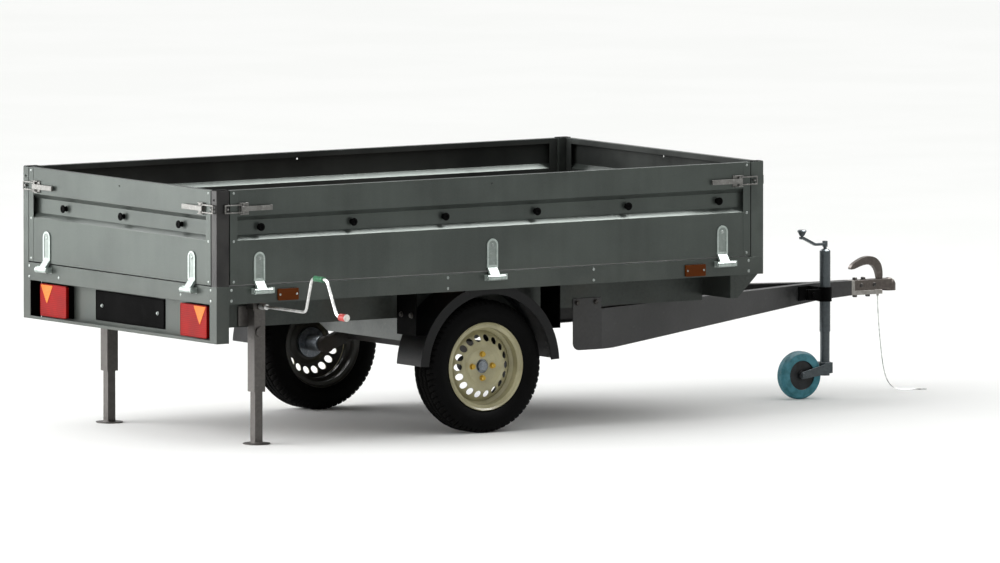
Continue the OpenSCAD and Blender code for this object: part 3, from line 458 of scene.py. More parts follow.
def boardFinish(name):
    # film-faced plywood: pressed mesh, grain and scuffs along the bed
    f = Finish(name, Specular_IOR_Level=0.4)
    mesh = f.cells(board["mesh"], "DISTANCE_TO_EDGE")
    line = 1 - f.step(mesh, *board["line"])
    grain = f.noise(7.0, 6.0, (0.2, 3.0, 1))
    scuff = f.noise(5.0, 5.0, (0.25, 3.5, 1), 0.55, 0.75)
    plain = f.blend(grain, board["grain"])
    f.relief(line * 0.8 + grain * 0.2, 0.0005, 0.0)
    return f.done(f.mix(scuff * 0.35, plain, tone(board["scuff"])), 0.48 + grain * 0.1 + scuff * 0.15)


def wireFinish(name):
    # bright wire with grey patches
    f = Finish(name, Metallic=0.9)
    soot = f.noise(60.0, 4.0)
    fine = f.noise(900.0, 2.0)
    f.relief(fine, 0.00004, 0.0)
    return f.done(f.mix(soot, tone("9a9b9a"), tone("dcdcda")), 0.3 + soot * 0.18)


# the tread starts and the scuffed running face starts at these distances from the axle
roller = {
    "tread": (0.0605, 0.0612), "face": (0.094, 0.099), "centre": ("0f1011", "24272a"),
    "band": ("2c6a75", "438391"), "scuff": "6c8486",
}


def rollerFinish(name):
    # coloured rubber tread on a black plastic centre, with a scuffed running face
    low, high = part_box("jockey_wheel")
    centre = ((low.x + high.x) / 2, 0, (low.z + high.z) / 2)
    f = Finish(name, Specular_IOR_Level=0.4)
    out = f.away(centre, (1, 0, 1))
    tread = f.step(out, *roller["tread"])
    worn = f.step(out, *roller["face"])
    cloud = f.noise(30.0, 4.0)
    scuff = f.noise(120.0, 4.0, low=0.5, high=0.7)
    centrePart = f.blend(cloud, roller["centre"])
    band = f.blend(cloud, roller["band"])
    dusty = f.mix(worn * scuff * 0.25, band, tone(roller["scuff"]))
    f.relief(f.noise(420.0, 2.0) * 0.5 + cloud * 0.3, 0.0002, 0.0015)
    return f.done(f.mix(tread, centrePart, dusty), 0.42 + tread * 0.16 + cloud * 0.1)


# lengths from the crank's outer end: knob, its white face, and one ring of the sleeve
grip = {
    "knob": (0.047, 0.0475), "face": (0.001, 0.0015), "ring": 0.003,
    "sleeve": ("1f5238", "357a52"), "red": ("8f1d18", "b52c22"), "white": ("c9c7bf", "e8e6df"),
}


def gripFinish(name):
    # green sleeve on the crank, red end knob with a white face
    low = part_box("crank_grip")[0].y
    f = Finish(name, Coat_Weight=0.25, Coat_Roughness=0.3)
    y = f.axis(1)
    knob = 1 - f.step(y, *(low + edge for edge in grip["knob"]))
    face = 1 - f.step(y, *(low + edge for edge in grip["face"]))
    cloud = f.noise(60.0, 4.0)
    rings = f.node("ShaderNodeMath", {"operation": "PINGPONG"}, {0: y, 1: grip["ring"]}) / grip["ring"]
    sleeve, red, white = (f.blend(cloud, grip[part]) for part in ("sleeve", "red", "white"))
    f.relief(rings * (1 - knob) * 0.7 + cloud * 0.2, 0.0005, 0.0012)
    return f.done(f.mix(face, f.mix(knob, sleeve, red), white), 0.42 + cloud * 0.12)


finishes = {
    "bed_side": zincSheet("bedSheet", {
        "dark": "3f4441", "light": "4f5551", "metal": 0.55, "rough": 0.32, "cloud": 3.0, "dustTop": 0.74,
        "insideShade": 0.9}),
    "bed_frame": zincSheet("frameSheet", {
        "dark": "3d423f", "light": "4e534f", "metal": 0.55, "rough": 0.34, "cloud": 4.5, "dustTop": 0.66,
        "insideShade": 0.0}),
    # the corner pair is painted shade for the rear-right post
    "post_metal": zincSheet("postSheet", {
        "dark": "424744", "light": "535955", "metal": 0.55, "rough": 0.32, "cloud": 8.0, "dustTop": 0.72,
        "insideShade": 0.5, "corner": ("2b2a2a", "383736")}),
    "rail_metal": dippedSteel("railSteel", {
        "dark": "363a37", "light": "454946", "rub": "5c615e", "metal": 0.6, "rough": 0.42, "dirt": 0.2}),
    "floor_wood": boardFinish("bedBoard"),
    "black_plastic": mouldedPlastic("blackMoulding", {
        "dark": "010101", "light": "050505", "grain": 900.0, "depth": 0.0001, "rough": 0.6, "gloss": 0.04}),
    "lamp_red": lensPlastic("lampRed", {"dark": "6c0605", "light": "a00f0b", "pitch": 0.004, "coat": 0.04}),
    "reflector_orange": lensPlastic("reflectorAmber", {
        "dark": "4a2203", "light": "663007", "pitch": 0.002, "coat": 0.0}),
    "hinge_zinc": zincPlate("hingePlating", {
        "inset": 0.5,
        "dark": "9aa49f", "light": "b4beb9", "rub": "ccd4d0", "metal": 0.7, "rough": 0.32, "crystal": 260.0}),
    "latch_steel": zincPlate("latchPlating", {
        "dark": "656461", "light": "82817e", "rub": "a5a4a1", "metal": 0.75, "rough": 0.3, "crystal": 320.0}),
    "axle_steel": dippedSteel("axleSteel", {
        "dark": "2d2d2d", "light": "484848", "rub": "6b6b6a", "metal": 0.5, "rough": 0.5, "dirt": 0.7}),
    "carrier_steel": dippedSteel("carrierSteel", {
        "dark": "5b5e5c", "light": "6f7270", "rub": "8d908d", "metal": 0.65, "rough": 0.4, "dirt": 0.3}),
    "mudguard_plastic": mouldedPlastic("guardMoulding", {
        "dark": "040405", "light": "0c0d0e", "grain": 520.0, "depth": 0.00012, "rough": 0.3, "gloss": 0.25}),
    "hub_steel": zincPlate("hubPlating", {
        "dark": "5b6167", "light": "8b9197", "rub": "b4b9be", "metal": 0.8, "rough": 0.32, "crystal": 170.0}),
    "rim_cream": castPaint("rimPaint", {
        "dark": "97916f", "light": "aaa481", "chip": "6f6c62", "coat": 0.35, "rough": 0.36, "dust": 0.2}),
    "tyre_rubber": tyreRubber("tyreRubber"),
    "drawbar_metal": dippedSteel("drawbarSteel", {
        "dark": "3d3d3d", "light": "494949", "rub": "575755", "metal": 0.6, "rough": 0.38, "dirt": 0.1}),
    "coupling_plate": dippedSteel("noseSteel", {
        "dark": "85827d", "light": "a9a6a1", "rub": "cbc8c4", "metal": 0.7, "rough": 0.38, "dirt": 0.35}),
    "coupling_steel": dippedSteel("couplingSteel", {
        "dark": "4c4642", "light": "625b56", "rub": "857e78", "metal": 0.65, "rough": 0.34, "dirt": 0.15}),
    "cable_steel": wireFinish("cableSteel"),
    "jockey_steel": dippedSteel("jockeySteel", {
        "dark": "454b4e", "light": "565c5f", "rub": "767b7e", "metal": 0.75, "rough": 0.3, "dirt": 0.1}),
    "jockey_rubber": rollerFinish("rollerRubber"),
    "stand_steel": dippedSteel("standSteel", {
        "dark": "53504e", "light": "64615e", "rub": "7f7c79", "metal": 0.7, "rough": 0.34, "dirt": 0.1}),
    "crank_metal": zincPlate("crankPlating", {
        "dark": "b4b4b2", "light": "e6e6e4", "rub": "f6f6f4", "metal": 0.7, "rough": 0.3, "crystal": 240.0}),
    "crank_plastic": gripFinish("gripPlastic"),
}
lampAmber = lensPlastic("lampAmber", {"dark": "c8682a", "light": "e08a4a", "pitch": 0.003, "coat": 0.0})
boltPlating = zincPlate("boltPlating", {
    "dark": "a8862f", "light": "c9a548", "rub": "e6c878", "metal": 0.8, "rough": 0.3, "crystal": 420.0})
darkBolt = zincPlate("darkBolt", {
    "dark": "2b2a29", "light": "54514e", "rub": "8a8682", "metal": 0.8, "rough": 0.36, "crystal": 420.0})
brightRivet = zincPlate("brightRivet", {
    "dark": "7d8480", "light": "a8aeab", "rub": "c4c9c6", "metal": 0.8, "rough": 0.32, "crystal": 500.0})
print("finishes mixed:", len(finishes) + 3)

slotOf = {row["node"]: row["material_slot"] for row in frame["record"]["subparts"]}


def dress(nodes):
    # each CAD node takes the finish of its slot
    for name, piece in nodes.items():
        finish = finishes[slotOf[name]]
        if not piece.material_slots:
            piece.data.materials.append(finish)
        for place in piece.material_slots:
            place.material = finish


dress(frame["nodes"])
print("nodes dressed")

# the safety cable's route from its ferrule to its hook, in metres
cable = {
    "route": [
        (2.393, -0.020, 0.399), (2.393, -0.020, 0.380), (2.394, -0.020, 0.350), (2.396, -0.021, 0.310),
        (2.399, -0.022, 0.265), (2.403, -0.023, 0.220), (2.408, -0.024, 0.175), (2.413, -0.026, 0.130),
        (2.419, -0.028, 0.092), (2.427, -0.031, 0.060), (2.439, -0.035, 0.034), (2.455, -0.040, 0.016),
        (2.475, -0.046, 0.006), (2.497, -0.053, 0.0024), (2.520, -0.061, 0.002), (2.543, -0.069, 0.002),
    ],
    "diameter": 0.004, "strands": 6, "turns": 26, "swell": 0.14, "fine": 24, "sides": 24,
}


def smoothRoute(route, fine):
    # Catmull-Rom curve through the points: a cubic between each pair, with its slopes from their neighbours
    p = np.array(route)
    p = np.vstack([2 * p[0] - p[1], p, 2 * p[-1] - p[-2]])
    t = np.linspace(0, 1, fine, endpoint=False)[None, :, None]
    a, b, c, d = (p[i:len(p) - 3 + i, None] for i in range(4))
    bend, twist = 2 * a - 5 * b + 4 * c - d, 3 * b - a - 3 * c + d
    curve = 0.5 * (2 * b + (c - a) * t + bend * t ** 2 + twist * t ** 3)
    return np.vstack([curve.reshape(-1, 3), p[-2]])


def addCable(cable):
    path = smoothRoute(cable["route"], cable["fine"])

    def strands(along, angle):  # the radius swells over each strand, and the strands wind round the path
        wave = np.abs(np.cos(cable["strands"] / 2 * angle + cable["turns"] * 2 * math.pi * along))
        return 1 - cable["swell"] + cable["swell"] * wave

    shell = carried(path, cable["diameter"] / 2, cable["sides"], strands)
    piece = addPiece("safetyCable", shell, finishes["cable_steel"], "chassis", 60)
    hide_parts("safety_cable")


addCable(cable)
print("cable laid")

tyreForm = {
    "around": 600, "across": 112, "flat": 58,  # points round the tyre, round its section and over the tread
    # distance below the tread and half width of each point, from the bead to the tread's shoulder
    "drop": (0.1102, 0.0992, 0.0900, 0.0735, 0.0575, 0.0495, 0.0355, 0.0200, 0.0110, 0.0040, 0.0),
    "half": (0.0540, 0.0566, 0.0644, 0.0735, 0.0770, 0.0775, 0.0755, 0.0710, 0.0665, 0.0585, 0.0475),
    "groove": 0.0065, "grooves": (-0.030, -0.0005, 0.029), "grooveHalf": 0.0042, "grooveEdge": 0.0015,
    "zigzag": 0.0022, "blocks": 66, "shoulder": 0.038, "shoulderEdge": 0.002,
    "cutSlant": 14, "cutHalf": 0.13, "sipeSlant": 30, "sipeHalf": 0.09, "sipeDepth": 0.55,
    "treadDepth": 0.016, "treadEdge": 0.004, "inset": 0.0008,
    "rib": 0.0009, "ribProud": 0.8, "ribRings": ((0.226, 0.0012), (0.205, 0.0015)),  # radius and width
}


def tyreOutline(radius, form):
    # closed section as distance from the axle and from the middle plane, with its points evenly spaced
    r = radius - np.array(form["drop"])
    w = np.array(form["half"])
    flat = np.linspace(w[-1], -w[-1], form["flat"])[1:-1]
    crown = np.stack([np.full_like(flat, r[-1]), flat], 1)
    outline = np.vstack([np.stack([r, w], 1), crown, np.stack([r[::-1], -w[::-1]], 1)])
    run = np.concatenate([[0], np.cumsum(np.linalg.norm(np.diff(outline, axis=0), axis=1))])
    last = form["across"] - 1
    fineRun = np.interp(np.arange(form["across"]), np.linspace(0, last, len(run)), run)
    return np.interp(fineRun, run, outline[:, 0])[:, None], np.interp(fineRun, run, outline[:, 1])[:, None]


def tyreShell(node, form):
    # the outline turned round the axle; the tread's radius drops in zigzag grooves and slanted cuts:
    # r = outline - depth max(groove, cut, fine cut), and two faint rings stand on each sidewall
    low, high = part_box(node)
    radius = (high.z - low.z) / 2
    centre = (low + high) / 2
    outR, outW = tyreOutline(radius, form)
    angle = (np.arange(form["around"]) * 2 * math.pi / form["around"])[None]
    beat = form["blocks"] * angle / (2 * math.pi)
    zigzag = form["zigzag"] * (2 * np.abs(2 * (beat / 2 % 1) - 1) - 1)
    band = [np.abs(outW - middle - zigzag) - form["grooveHalf"] for middle in form["grooves"]]
    groove = np.maximum.reduce([1 - np.clip(b / form["grooveEdge"], 0, 1) for b in band])
    shoulder = np.clip((np.abs(outW) - form["shoulder"]) / form["shoulderEdge"], 0, 1)
    slant = (beat + outW * form["cutSlant"] * np.sign(outW)) % 1
    cut = (np.abs(slant - 0.5) < form["cutHalf"]) * shoulder
    fine = (beat * 2 + outW * form["sipeSlant"]) % 1
    sipe = (np.abs(fine - 0.5) < form["sipeHalf"]) * (1 - shoulder) * form["sipeDepth"]
    tread = np.clip((outR - (radius - form["treadDepth"])) / form["treadEdge"], 0, 1)
    depth = form["groove"] * np.maximum.reduce([groove, cut, sipe]) * tread
    outer, inner = (np.exp(-((outR - place) / width) ** 2) for place, width in form["ribRings"])
    rib = form["rib"] * (outer - inner)
    r = outR - depth
    w = outW - form["inset"] * np.sign(outW) + rib * np.sign(outW) * form["ribProud"]
    x = centre.x + r * np.cos(angle)
    z = centre.z + r * np.sin(angle)
    y = centre.y + w + 0 * angle
    return gridShell(np.stack([x, y, z], -1), True, True)


for side in ("right", "left"):
    tyre = addPiece("tyre_tread_" + side, tyreShell("tyre_" + side, tyreForm), finishes["tyre_rubber"],
                    "wheel_" + side, 40)
    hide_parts("tyre_" + side)
print("tyres moulded")

# widths over the flats, heights of the heads and radii of the washers
boltForm = {
    "wheel": (0.019, 0.011, 0.0128), "frame": (0.017, 0.0075, 0.012), "coupling": (0.019, 0.009, 0.013),
    "plate": (0.010, 0.004, 0.008), "washer": 0.002, "edge": 0.0006, "sink": 0.0002, "chamfer": 0.86,
}


def hexBolt(across, head, washer):
    # six-sided head with a chamfered top on a round washer, both turned about Z
    corner = across / 2 / math.cos(math.pi / 6)
    thick, edge = boltForm["washer"], boltForm["edge"]
    top, foot = head + thick, thick - boltForm["sink"]
    chamfer = corner * boltForm["chamfer"]
    cap = turned([(0, top), (chamfer, top), (corner, head + edge), (corner, foot), (0, foot)], 6)
    ring = turned([(0, thick), (washer - edge, thick), (washer, thick - edge), (washer, 0), (0, 0)], 28)
    return joined([cap, ring])


def domeRivet(radius, height):
    # quarter ellipse turned about Z, sunk a little into its seat
    bend = np.linspace(0, math.pi / 2, 7)
    dome = np.stack([radius * np.sin(bend), height * np.cos(bend)], 1)
    return turned(np.vstack([dome, [(radius, -boltForm["sink"]), (0, -boltForm["sink"])]]), 20)


wheelBolts = {"count": 4, "ring": 0.049, "discFace": 0.037}


def addWheelBolts(side, outwards, form):
    low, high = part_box("rim_" + side)
    centre = (low + high) / 2
    face = centre.y + outwards * form["discFace"]
    turns = np.radians(np.arange(form["count"]) * 360 / form["count"])
    ring = form["ring"]
    spots = [(centre.x + ring * math.cos(a), face, centre.z + ring * math.sin(a)) for a in turns]
    bolts = copied(hexBolt(*boltForm["wheel"]), [standing(spot, (0, outwards, 0)) for spot in spots])
    addPiece("wheel_bolts_" + side, bolts, boltPlating, "wheel_" + side)


addWheelBolts("right", -1, wheelBolts)
addWheelBolts("left", 1, wheelBolts)
print("wheel bolts fitted")

# knobs that hold a tarpaulin's rope, rivets in the end caps and on the straps: the same on every drop side
gateForm = {
    "knobHeight": 0.231, "recess": 0.022, "knobRadius": 0.0165, "knobLength": 0.021,
    "rivetHeights": (0.375, 0.178, 0.013), "rivetIn": 0.0175, "proud": 0.001,
    "sideKnobs": [-1.125 + i * 0.4485 for i in range(6)], "endKnobs": [-0.44, 0.0, 0.44],
    "strapWidth": 0.053, "strapRivet": 0.1045, "strapPlate": 0.003,
    "capDome": (0.0054, 0.002), "strapDome": (0.0075, 0.003),
}


def knobShell(form):
    # waisted mushroom turned about Z, hollow dimple on top
    r, h = form["knobRadius"], form["knobLength"]
    return turned([
        (0, h - 0.002), (r * 0.35, h - 0.002), (r * 0.45, h - 0.0004), (r * 0.75, h), (r * 0.95, h - 0.0015),
        (r, h - 0.004), (r * 0.95, h - 0.0065), (r * 0.62, h - 0.009), (r * 0.5, h * 0.4), (r * 0.62, 0.002),
        (r * 0.7, 0), (0, 0)], 28)


def addGateFittings(gate, hinges, outwards, knobsAt, form):
    # knobs, and rivets on the end caps and the straps; each side's body has the side's own name
    low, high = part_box(gate)
    along = 0 if abs(outwards[1]) else 1
    depth = 1 - along
    sign = outwards[depth]
    outer = (high if sign > 0 else low)[depth] - sign * form["proud"]

    def spot(position, out, height):
        point = [0.0, 0.0, low.z + height]
        point[along] = position
        point[depth] = outer + sign * out
        return point

    knobs = [standing(spot(k, -form["recess"], form["knobHeight"]), outwards) for k in knobsAt]
    shell = copied(knobShell(form), knobs)
    addPiece("knobs_" + gate, shell, finishes["black_plastic"], gate)
    ends = (low[along] + form["rivetIn"], high[along] - form["rivetIn"])
    caps = [standing(spot(e, form["proud"], h), outwards) for e in ends for h in form["rivetHeights"]]
    first, last = (box[along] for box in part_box(hinges))
    half = form["strapWidth"] / 2
    middles = [first + half, last - half] + ([(first + last) / 2] if len(knobsAt) > 3 else [])
    straps = [standing(spot(m, form["strapPlate"], form["strapRivet"]), outwards) for m in middles]
    capDome, strapDome = domeRivet(*form["capDome"]), domeRivet(*form["strapDome"])
    rivets = joined([copied(capDome, caps), copied(strapDome, straps)])
    addPiece("rivets_" + gate, rivets, brightRivet, gate)


for gate, hinges, outwards, knobsAt in (
        ("side_right", "hinges_right", (0, -1, 0), gateForm["sideKnobs"]),
        ("side_left", "hinges_left", (0, 1, 0), gateForm["sideKnobs"]),
        ("tailboard", "hinges_rear", (-1, 0, 0), gateForm["endKnobs"]),
        ("headboard", "hinges_front", (1, 0, 0), gateForm["endKnobs"])):
    addGateFittings(gate, hinges, outwards, knobsAt, gateForm)
print("knobs and rivets set")

sillForm = {"heights": (0.653, 0.609), "sideIn": 0.072, "rearIn": 0.044, "between": (-0.222, 0.493),
            "besideHinge": 0.465, "besideHeight": 0.619, "dome": (0.006, 0.0024)}


def addSillRivets(form):
    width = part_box("side_sills")[1].y
    rear, front = (end.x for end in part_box("end_sills"))
    places = []
    for z in form["heights"]:
        for sign in (-1, 1):
            for x in (rear + form["sideIn"], *form["between"], front - form["sideIn"]):
                places.append(standing((x, sign * width, z), (0, sign, 0)))
            for x, face in ((rear, -1), (front, 1)):
                places.append(standing((x, sign * (width - form["rearIn"]), z), (face, 0, 0)))
    for y in (-form["besideHinge"], form["besideHinge"]):
        places.append(standing((rear, y, form["besideHeight"]), (-1, 0, 0)))
    addPiece("sill_rivets", copied(domeRivet(*form["dome"]), places), brightRivet, "chassis")


addSillRivets(sillForm)


# distances from the rear end of the drawbar plates and of the coupling, and heights above ground
frameBolts = {
    "plateAlong": (0.020, 0.111), "plateHeight": 0.497,
    "guardAcross": (0.590, 0.665), "guardHeights": (0.500, 0.600),
    "topAlong": (0.020, 0.062), "topHeight": 0.467, "underAlong": (0.020, 0.085), "underSink": 0.008,
    "sideAlong": (0.035, 0.100), "sideOut": 0.029, "sideHeight": 0.447, "sideDome": (0.009, 0.004),
}


def addFrameBolts(form):
    # bolts of the drawbar plates, the mudguard brackets and the coupling
    rear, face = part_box("drawbar_arms")[0].x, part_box("drawbar_arms")[1].y
    plate = [standing((rear + d, s * face, form["plateHeight"]), (0, s, 0))
             for d in form["plateAlong"] for s in (-1, 1)]
    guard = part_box("mudguard_brackets")
    hang = [standing((x, s * y, z), (turn, 0, 0)) for x, turn in ((guard[0].x, -1), (guard[1].x, 1))
            for s in (-1, 1) for y in form["guardAcross"] for z in form["guardHeights"]]
    bolts = copied(hexBolt(*boltForm["frame"]), plate + hang)
    addPiece("frame_bolts", bolts, darkBolt, "chassis")
    rear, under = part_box("coupling_body")[0].x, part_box("coupling_nose")[0].z + form["underSink"]
    above = [standing((rear + d, 0, form["topHeight"]), (0, 0, 1), (0, 1, 0)) for d in form["topAlong"]]
    below = [standing((rear + d, 0, under), (0, 0, -1), (0, 1, 0)) for d in form["underAlong"]]
    sides = [standing((rear + d, s * form["sideOut"], form["sideHeight"]), (0, s, 0))
             for d in form["sideAlong"] for s in (-1, 1)]
    heads = copied(hexBolt(*boltForm["coupling"]), above + below)
    shell = joined([heads, copied(domeRivet(*form["sideDome"]), sides)])
    addPiece("coupling_bolts", shell, darkBolt, "chassis")


addFrameBolts(frameBolts)
print("bolts set")

lampForm = {
    "width": 0.092, "height": 0.077, "thick": 0.0016, "sideIn": 0.006, "topIn": 0.004, "corner": 0.007,
    # share of the outline's size and of the thickness, from the foot over the raised rim to the middle
    "rows": ((1, 0), (1, 0.7), (0.965, 1), (0.90, 1), (0.88, 0.7), (0.5, 0.7), (0, 0.7)),
}


def triangleShell(form):
    # closed rounded triangle, point down: rows step in towards the top face, corners are quadratic curves
    width, height, thick = form["width"], form["height"], form["thick"]
    corners = np.array([(-width / 2, height / 2), (0, -height / 2), (width / 2, height / 2)])
    middle = corners.mean(0)
    t = np.linspace(0, 1, 7)[:, None]
    outline = []
    for i in range(3):
        a, b, c = corners[i - 1], corners[i], corners[(i + 1) % 3]
        start = b + form["corner"] * (a - b) / np.linalg.norm(a - b)
        end = b + form["corner"] * (c - b) / np.linalg.norm(c - b)
        outline.append((1 - t) ** 2 * start + 2 * t * (1 - t) * b + t ** 2 * end)
    outline = np.concatenate(outline)
    flat = np.stack([middle + share * (outline - middle) for share, rise in form["rows"]])
    rises = np.array([rise * thick for share, rise in form["rows"]])[:, None, None] + 0 * flat[..., :1]
    points = np.concatenate([flat, rises], -1)
    return gridShell(np.concatenate([0 * points[:1] + [*middle, 0], points]), False, True)


def addLampTriangles(form):
    low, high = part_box("lamp_lenses")
    places = []
    for sign in (-1, 1):
        y = sign * (high.y - form["sideIn"] - form["width"] / 2)
        places.append(standing((low.x, y, high.z - form["topIn"] - form["height"] / 2), (-1, 0, 0)))
    shell = copied(triangleShell(form), places)
    addPiece("lamp_triangles", shell, lampAmber, "chassis", 25)


addLampTriangles(lampForm)


shadePlateForm = {"thick": 0.002, "short": 0.002, "low": 0.0048, "clear": 0.0006, "grid": (13, 25, 8.0)}


def addLampShadePlates(form):
    # thin black plates that close both ends of the recess behind the lamps; their black is painted shade
    # where the end walls lie in shadow: a box with rounded edges
    low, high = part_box("light_panel")
    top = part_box("end_sills")[0].z - form["clear"]
    depth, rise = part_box("lamp_housings")[1].x - low.x, top - low.z - form["low"]
    shell = pillow((depth - form["short"], rise, form["thick"]), *form["grid"])
    x, y, z = low.x + depth / 2, high.y - form["thick"] - form["clear"], (low.z + top) / 2
    places = [standing((x, sign * y, z), (0, sign, 0)) for sign in (-1, 1)]
    # painted shade: black plates standing in for the recess ends in shadow
    addPiece("lamp_shade_plates", copied(shell, places), finishes["black_plastic"], "chassis")


addLampShadePlates(shadePlateForm)


def frameLine(width, height, corner, fine=9):
    # rectangle with round corners as a closed line in X and Y
    line = []
    for i, (sx, sy) in enumerate(((1, 1), (-1, 1), (-1, -1), (1, -1))):
        a = np.linspace(0, math.pi / 2, fine) + i * math.pi / 2
        line.append(np.stack([sx * (width / 2 - corner) + corner * np.cos(a),
                              sy * (height / 2 - corner) + corner * np.sin(a), 0 * a], 1))
    return np.concatenate(line)


def denseLine(line, step):
    # the closed line again, with a point every step or so
    closed = np.vstack([line, line[:1]])
    run = np.concatenate([[0], np.cumsum(np.linalg.norm(np.diff(closed, axis=0), axis=1))])
    s = np.linspace(0, run[-1], max(8, int(run[-1] / step)), endpoint=False)
    return np.stack([np.interp(s, run, closed[:, i]) for i in range(3)], 1)


def flatRing(line, radius, sides=10):
    # round bead along a closed flat line, its rings standing across the line
    along = np.roll(line, -1, 0) - np.roll(line, 1, 0)
    along /= np.linalg.norm(along, axis=1, keepdims=True)
    out = np.stack([along[:, 1], -along[:, 0], 0 * along[:, 0]], 1)
    a = np.arange(sides) * 2 * math.pi / sides
    points = line[:, None] + radius * (np.cos(a)[None, :, None] * out[:, None]
                                       + np.sin(a)[None, :, None] * np.array([0, 0, 1.0]))
    return gridShell(points, True, True)


plateForm = {
    "rimIn": 0.004, "rimCorner": 0.006, "rimStep": 0.012, "rimBead": 0.0022, "boltOut": 0.211,
    "lampSize": (0.196, 0.130, 0.008), "lampIn": 0.1, "lampStep": 0.01,
    "lampBead": 0.0018, "lampSink": 0.0006,
    "reflectorIn": 0.049, "screwOut": 0.040, "screwDome": (0.0045, 0.002),
}


def addPlateFittings(form):
    # bead and bolts of the number plate, beads round the lamps, screws of the side reflectors
    low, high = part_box("number_plate")
    middle = (low + high) / 2
    width, height = high.y - low.y - 2 * form["rimIn"], high.z - low.z - 2 * form["rimIn"]
    rim = flatRing(denseLine(frameLine(width, height, form["rimCorner"]), form["rimStep"]), form["rimBead"])
    rim = copied(rim, [standing((low.x, 0, middle.z), (-1, 0, 0))])
    addPiece("plate_rim", rim, finishes["black_plastic"], "chassis")
    bolts = [standing((low.x, sign * form["boltOut"], middle.z), (-1, 0, 0)) for sign in (-1, 1)]
    addPiece("plate_bolts", copied(hexBolt(*boltForm["plate"]), bolts), brightRivet, "chassis")
    low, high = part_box("lamp_lenses")
    x, y, z = low.x + form["lampSink"], high.y - form["lampIn"], (low.z + high.z) / 2
    bead = flatRing(denseLine(frameLine(*form["lampSize"]), form["lampStep"]), form["lampBead"])
    beads = copied(bead, [standing((x, sign * y, z), (-1, 0, 0)) for sign in (-1, 1)])
    addPiece("lamp_rims", beads, finishes["lamp_red"], "chassis")
    low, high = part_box("side_reflectors")
    z = (low.z + high.z) / 2
    screws = [standing((x + d, sign * high.y, z), (0, sign, 0))
              for x in (low.x + form["reflectorIn"], high.x - form["reflectorIn"])
              for d in (-form["screwOut"], form["screwOut"]) for sign in (-1, 1)]
    shell = copied(domeRivet(*form["screwDome"]), screws)
    addPiece("reflector_screws", shell, brightRivet, "chassis")


addPlateFittings(plateForm)
print("lamps and plate finished")

guardForm = {"bead": 0.0032, "sink": 0.7, "arc": (4.0, 176.0), "steps": 90, "sides": 12}


def addGuardBeads(form):
    # rolled edge along the outer rim of each mudguard: a round bead on an arc about the axle
    low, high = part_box("mudguards")
    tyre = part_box("tyre_right")
    centreX, centreZ = (low.x + high.x) / 2, (tyre[0].z + tyre[1].z) / 2
    radius = (high.x - low.x) / 2 - form["bead"] * form["sink"]
    a = np.radians(np.linspace(*form["arc"], form["steps"]))
    shells = []
    for y in (low.y + form["bead"], high.y - form["bead"]):
        path = np.stack([centreX + radius * np.cos(a), 0 * a + y, centreZ + radius * np.sin(a)], 1)
        shells.append(carried(path, form["bead"], form["sides"]))
    addPiece("guard_beads", joined(shells), finishes["mudguard_plastic"], "chassis")


addGuardBeads(guardForm)


capForm = {"length": 0.060, "width": 0.038, "grid": (15, 48, 12.0)}


def addPostCaps(form):
    # moulded caps in place of the plain plates, slightly crowned
    low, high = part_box("post_caps")
    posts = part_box("corner_posts")
    length, width = form["length"], form["width"]
    places = [standing((x, y, low.z), (0, 0, 1), (0, 1, 0))
              for x in (posts[0].x + length / 2, posts[1].x - length / 2)
              for y in (posts[0].y + width / 2, posts[1].y - width / 2)]
    shell = copied(pillow((length, width, high.z - low.z), *form["grid"]), places)
    caps = addPiece("moulded_caps", shell, finishes["black_plastic"], "chassis", 50)
    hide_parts("post_caps")


addPostCaps(capForm)
print("beads and caps finished")

studio = {
    "sky": "fbfcfb", "horizon": 0.3, "zenith": 1.0, "rise": (0.2, 0.8),
    "sun": 1.7, "sunSoft": 40.0, "sunFrom": (-0.85, 0.05, 0.6), "aim": (0, 0, 0.8),
    "panels": (  # place, size and power of each
        {"at": (-8.0, 5.0, 2.6), "size": (7.0, 5.0), "power": 780.0},
        {"at": (-0.5, 8.5, 5.6), "size": (5.0, 4.0), "power": 500.0, "onlyShine": True},
        {"at": (4.9, -0.1, 7.5), "size": (4.5, 5.0), "power": 2600.0, "onlyShine": True}),
    "floor": ("f4f4f3", "ebecea"), "floorSize": 150.0,
}


def turnedFrom(place, aim):
    # rotation of a lamp at place that shines towards aim
    return (Vector(aim) - Vector(place)).to_track_quat("-Z", "Y").to_euler()


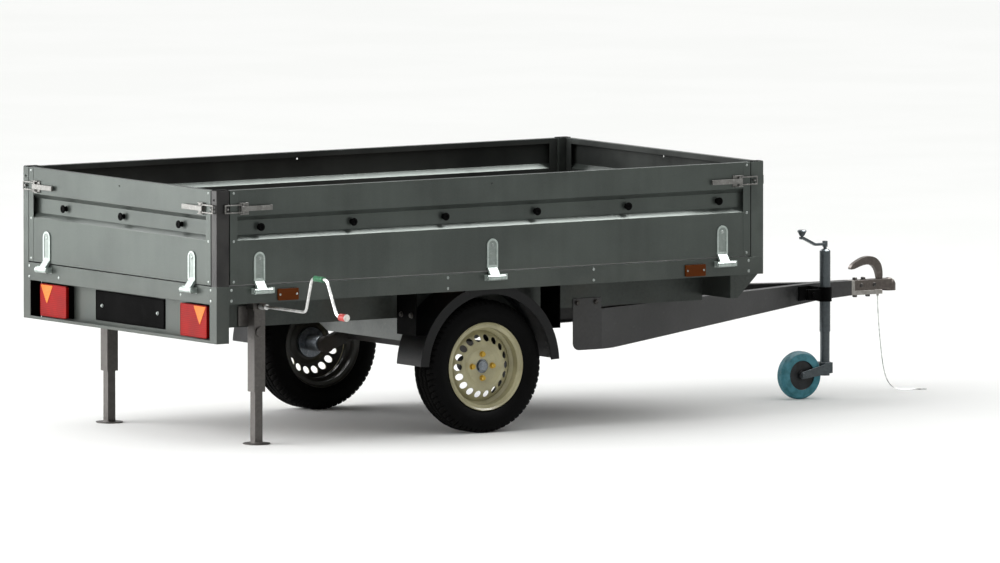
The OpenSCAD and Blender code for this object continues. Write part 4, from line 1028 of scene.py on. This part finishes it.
def addStudio(studio):
    # a soft tent: bright overhead, dimmer at the horizon, one broad sun and one panel behind the trailer,
    # and two panels that show only as shine
    scene.view_settings.view_transform = "Standard"
    world = bpy.data.worlds.new("studio")
    scene.world = world
    world.use_nodes = True
    tree = world.node_tree
    spot = tree.nodes.new("ShaderNodeTexCoord")
    split = tree.nodes.new("ShaderNodeSeparateXYZ")
    reach = tree.nodes.new("ShaderNodeMapRange")
    reach.interpolation_type = "SMOOTHSTEP"
    for key, value in zip(("From Min", "From Max", "To Min", "To Max"),
                          (*studio["rise"], studio["horizon"], studio["zenith"])):
        reach.inputs[key].default_value = value
    tree.links.new(spot.outputs["Generated"], split.inputs["Vector"])
    tree.links.new(split.outputs["Z"], reach.inputs["Value"])
    tree.links.new(reach.outputs["Result"], tree.nodes["Background"].inputs["Strength"])
    tree.nodes["Background"].inputs["Color"].default_value = tone(studio["sky"])
    sunData = bpy.data.lights.new("sun", "SUN")
    sunData.energy = studio["sun"]
    sunData.angle = math.radians(studio["sunSoft"])
    sun = bpy.data.objects.new("sun", sunData)
    sun.rotation_euler = turnedFrom(studio["sunFrom"], (0, 0, 0))
    scene.collection.objects.link(sun)
    for row in studio["panels"]:
        panelData = bpy.data.lights.new("panel", "AREA")
        panelData.shape = "RECTANGLE"
        panelData.size, panelData.size_y = row["size"]
        panelData.energy = row["power"]
        panel = bpy.data.objects.new("panel", panelData)
        panel.location = row["at"]
        panel.visible_diffuse = "onlyShine" not in row
        panel.rotation_euler = turnedFrom(row["at"], studio["aim"])
        scene.collection.objects.link(panel)
    half = studio["floorSize"] / 2
    mesh = bpy.data.meshes.new("floor")
    corners = [(-half, -half, 0), (half, -half, 0), (half, half, 0), (-half, half, 0)]
    mesh.from_pydata(corners, [], [(0, 1, 2, 3)])
    f = Finish("paleFloor", Specular_IOR_Level=0.2)
    cloud = f.noise(0.8, 3.0)
    mesh.materials.append(f.done(f.blend(cloud * 0.3, studio["floor"]), 0.7 + cloud * 0.05))
    floor = bpy.data.objects.new("floor", mesh)
    scene.collection.objects.link(floor)


addStudio(studio)
print("studio lit")
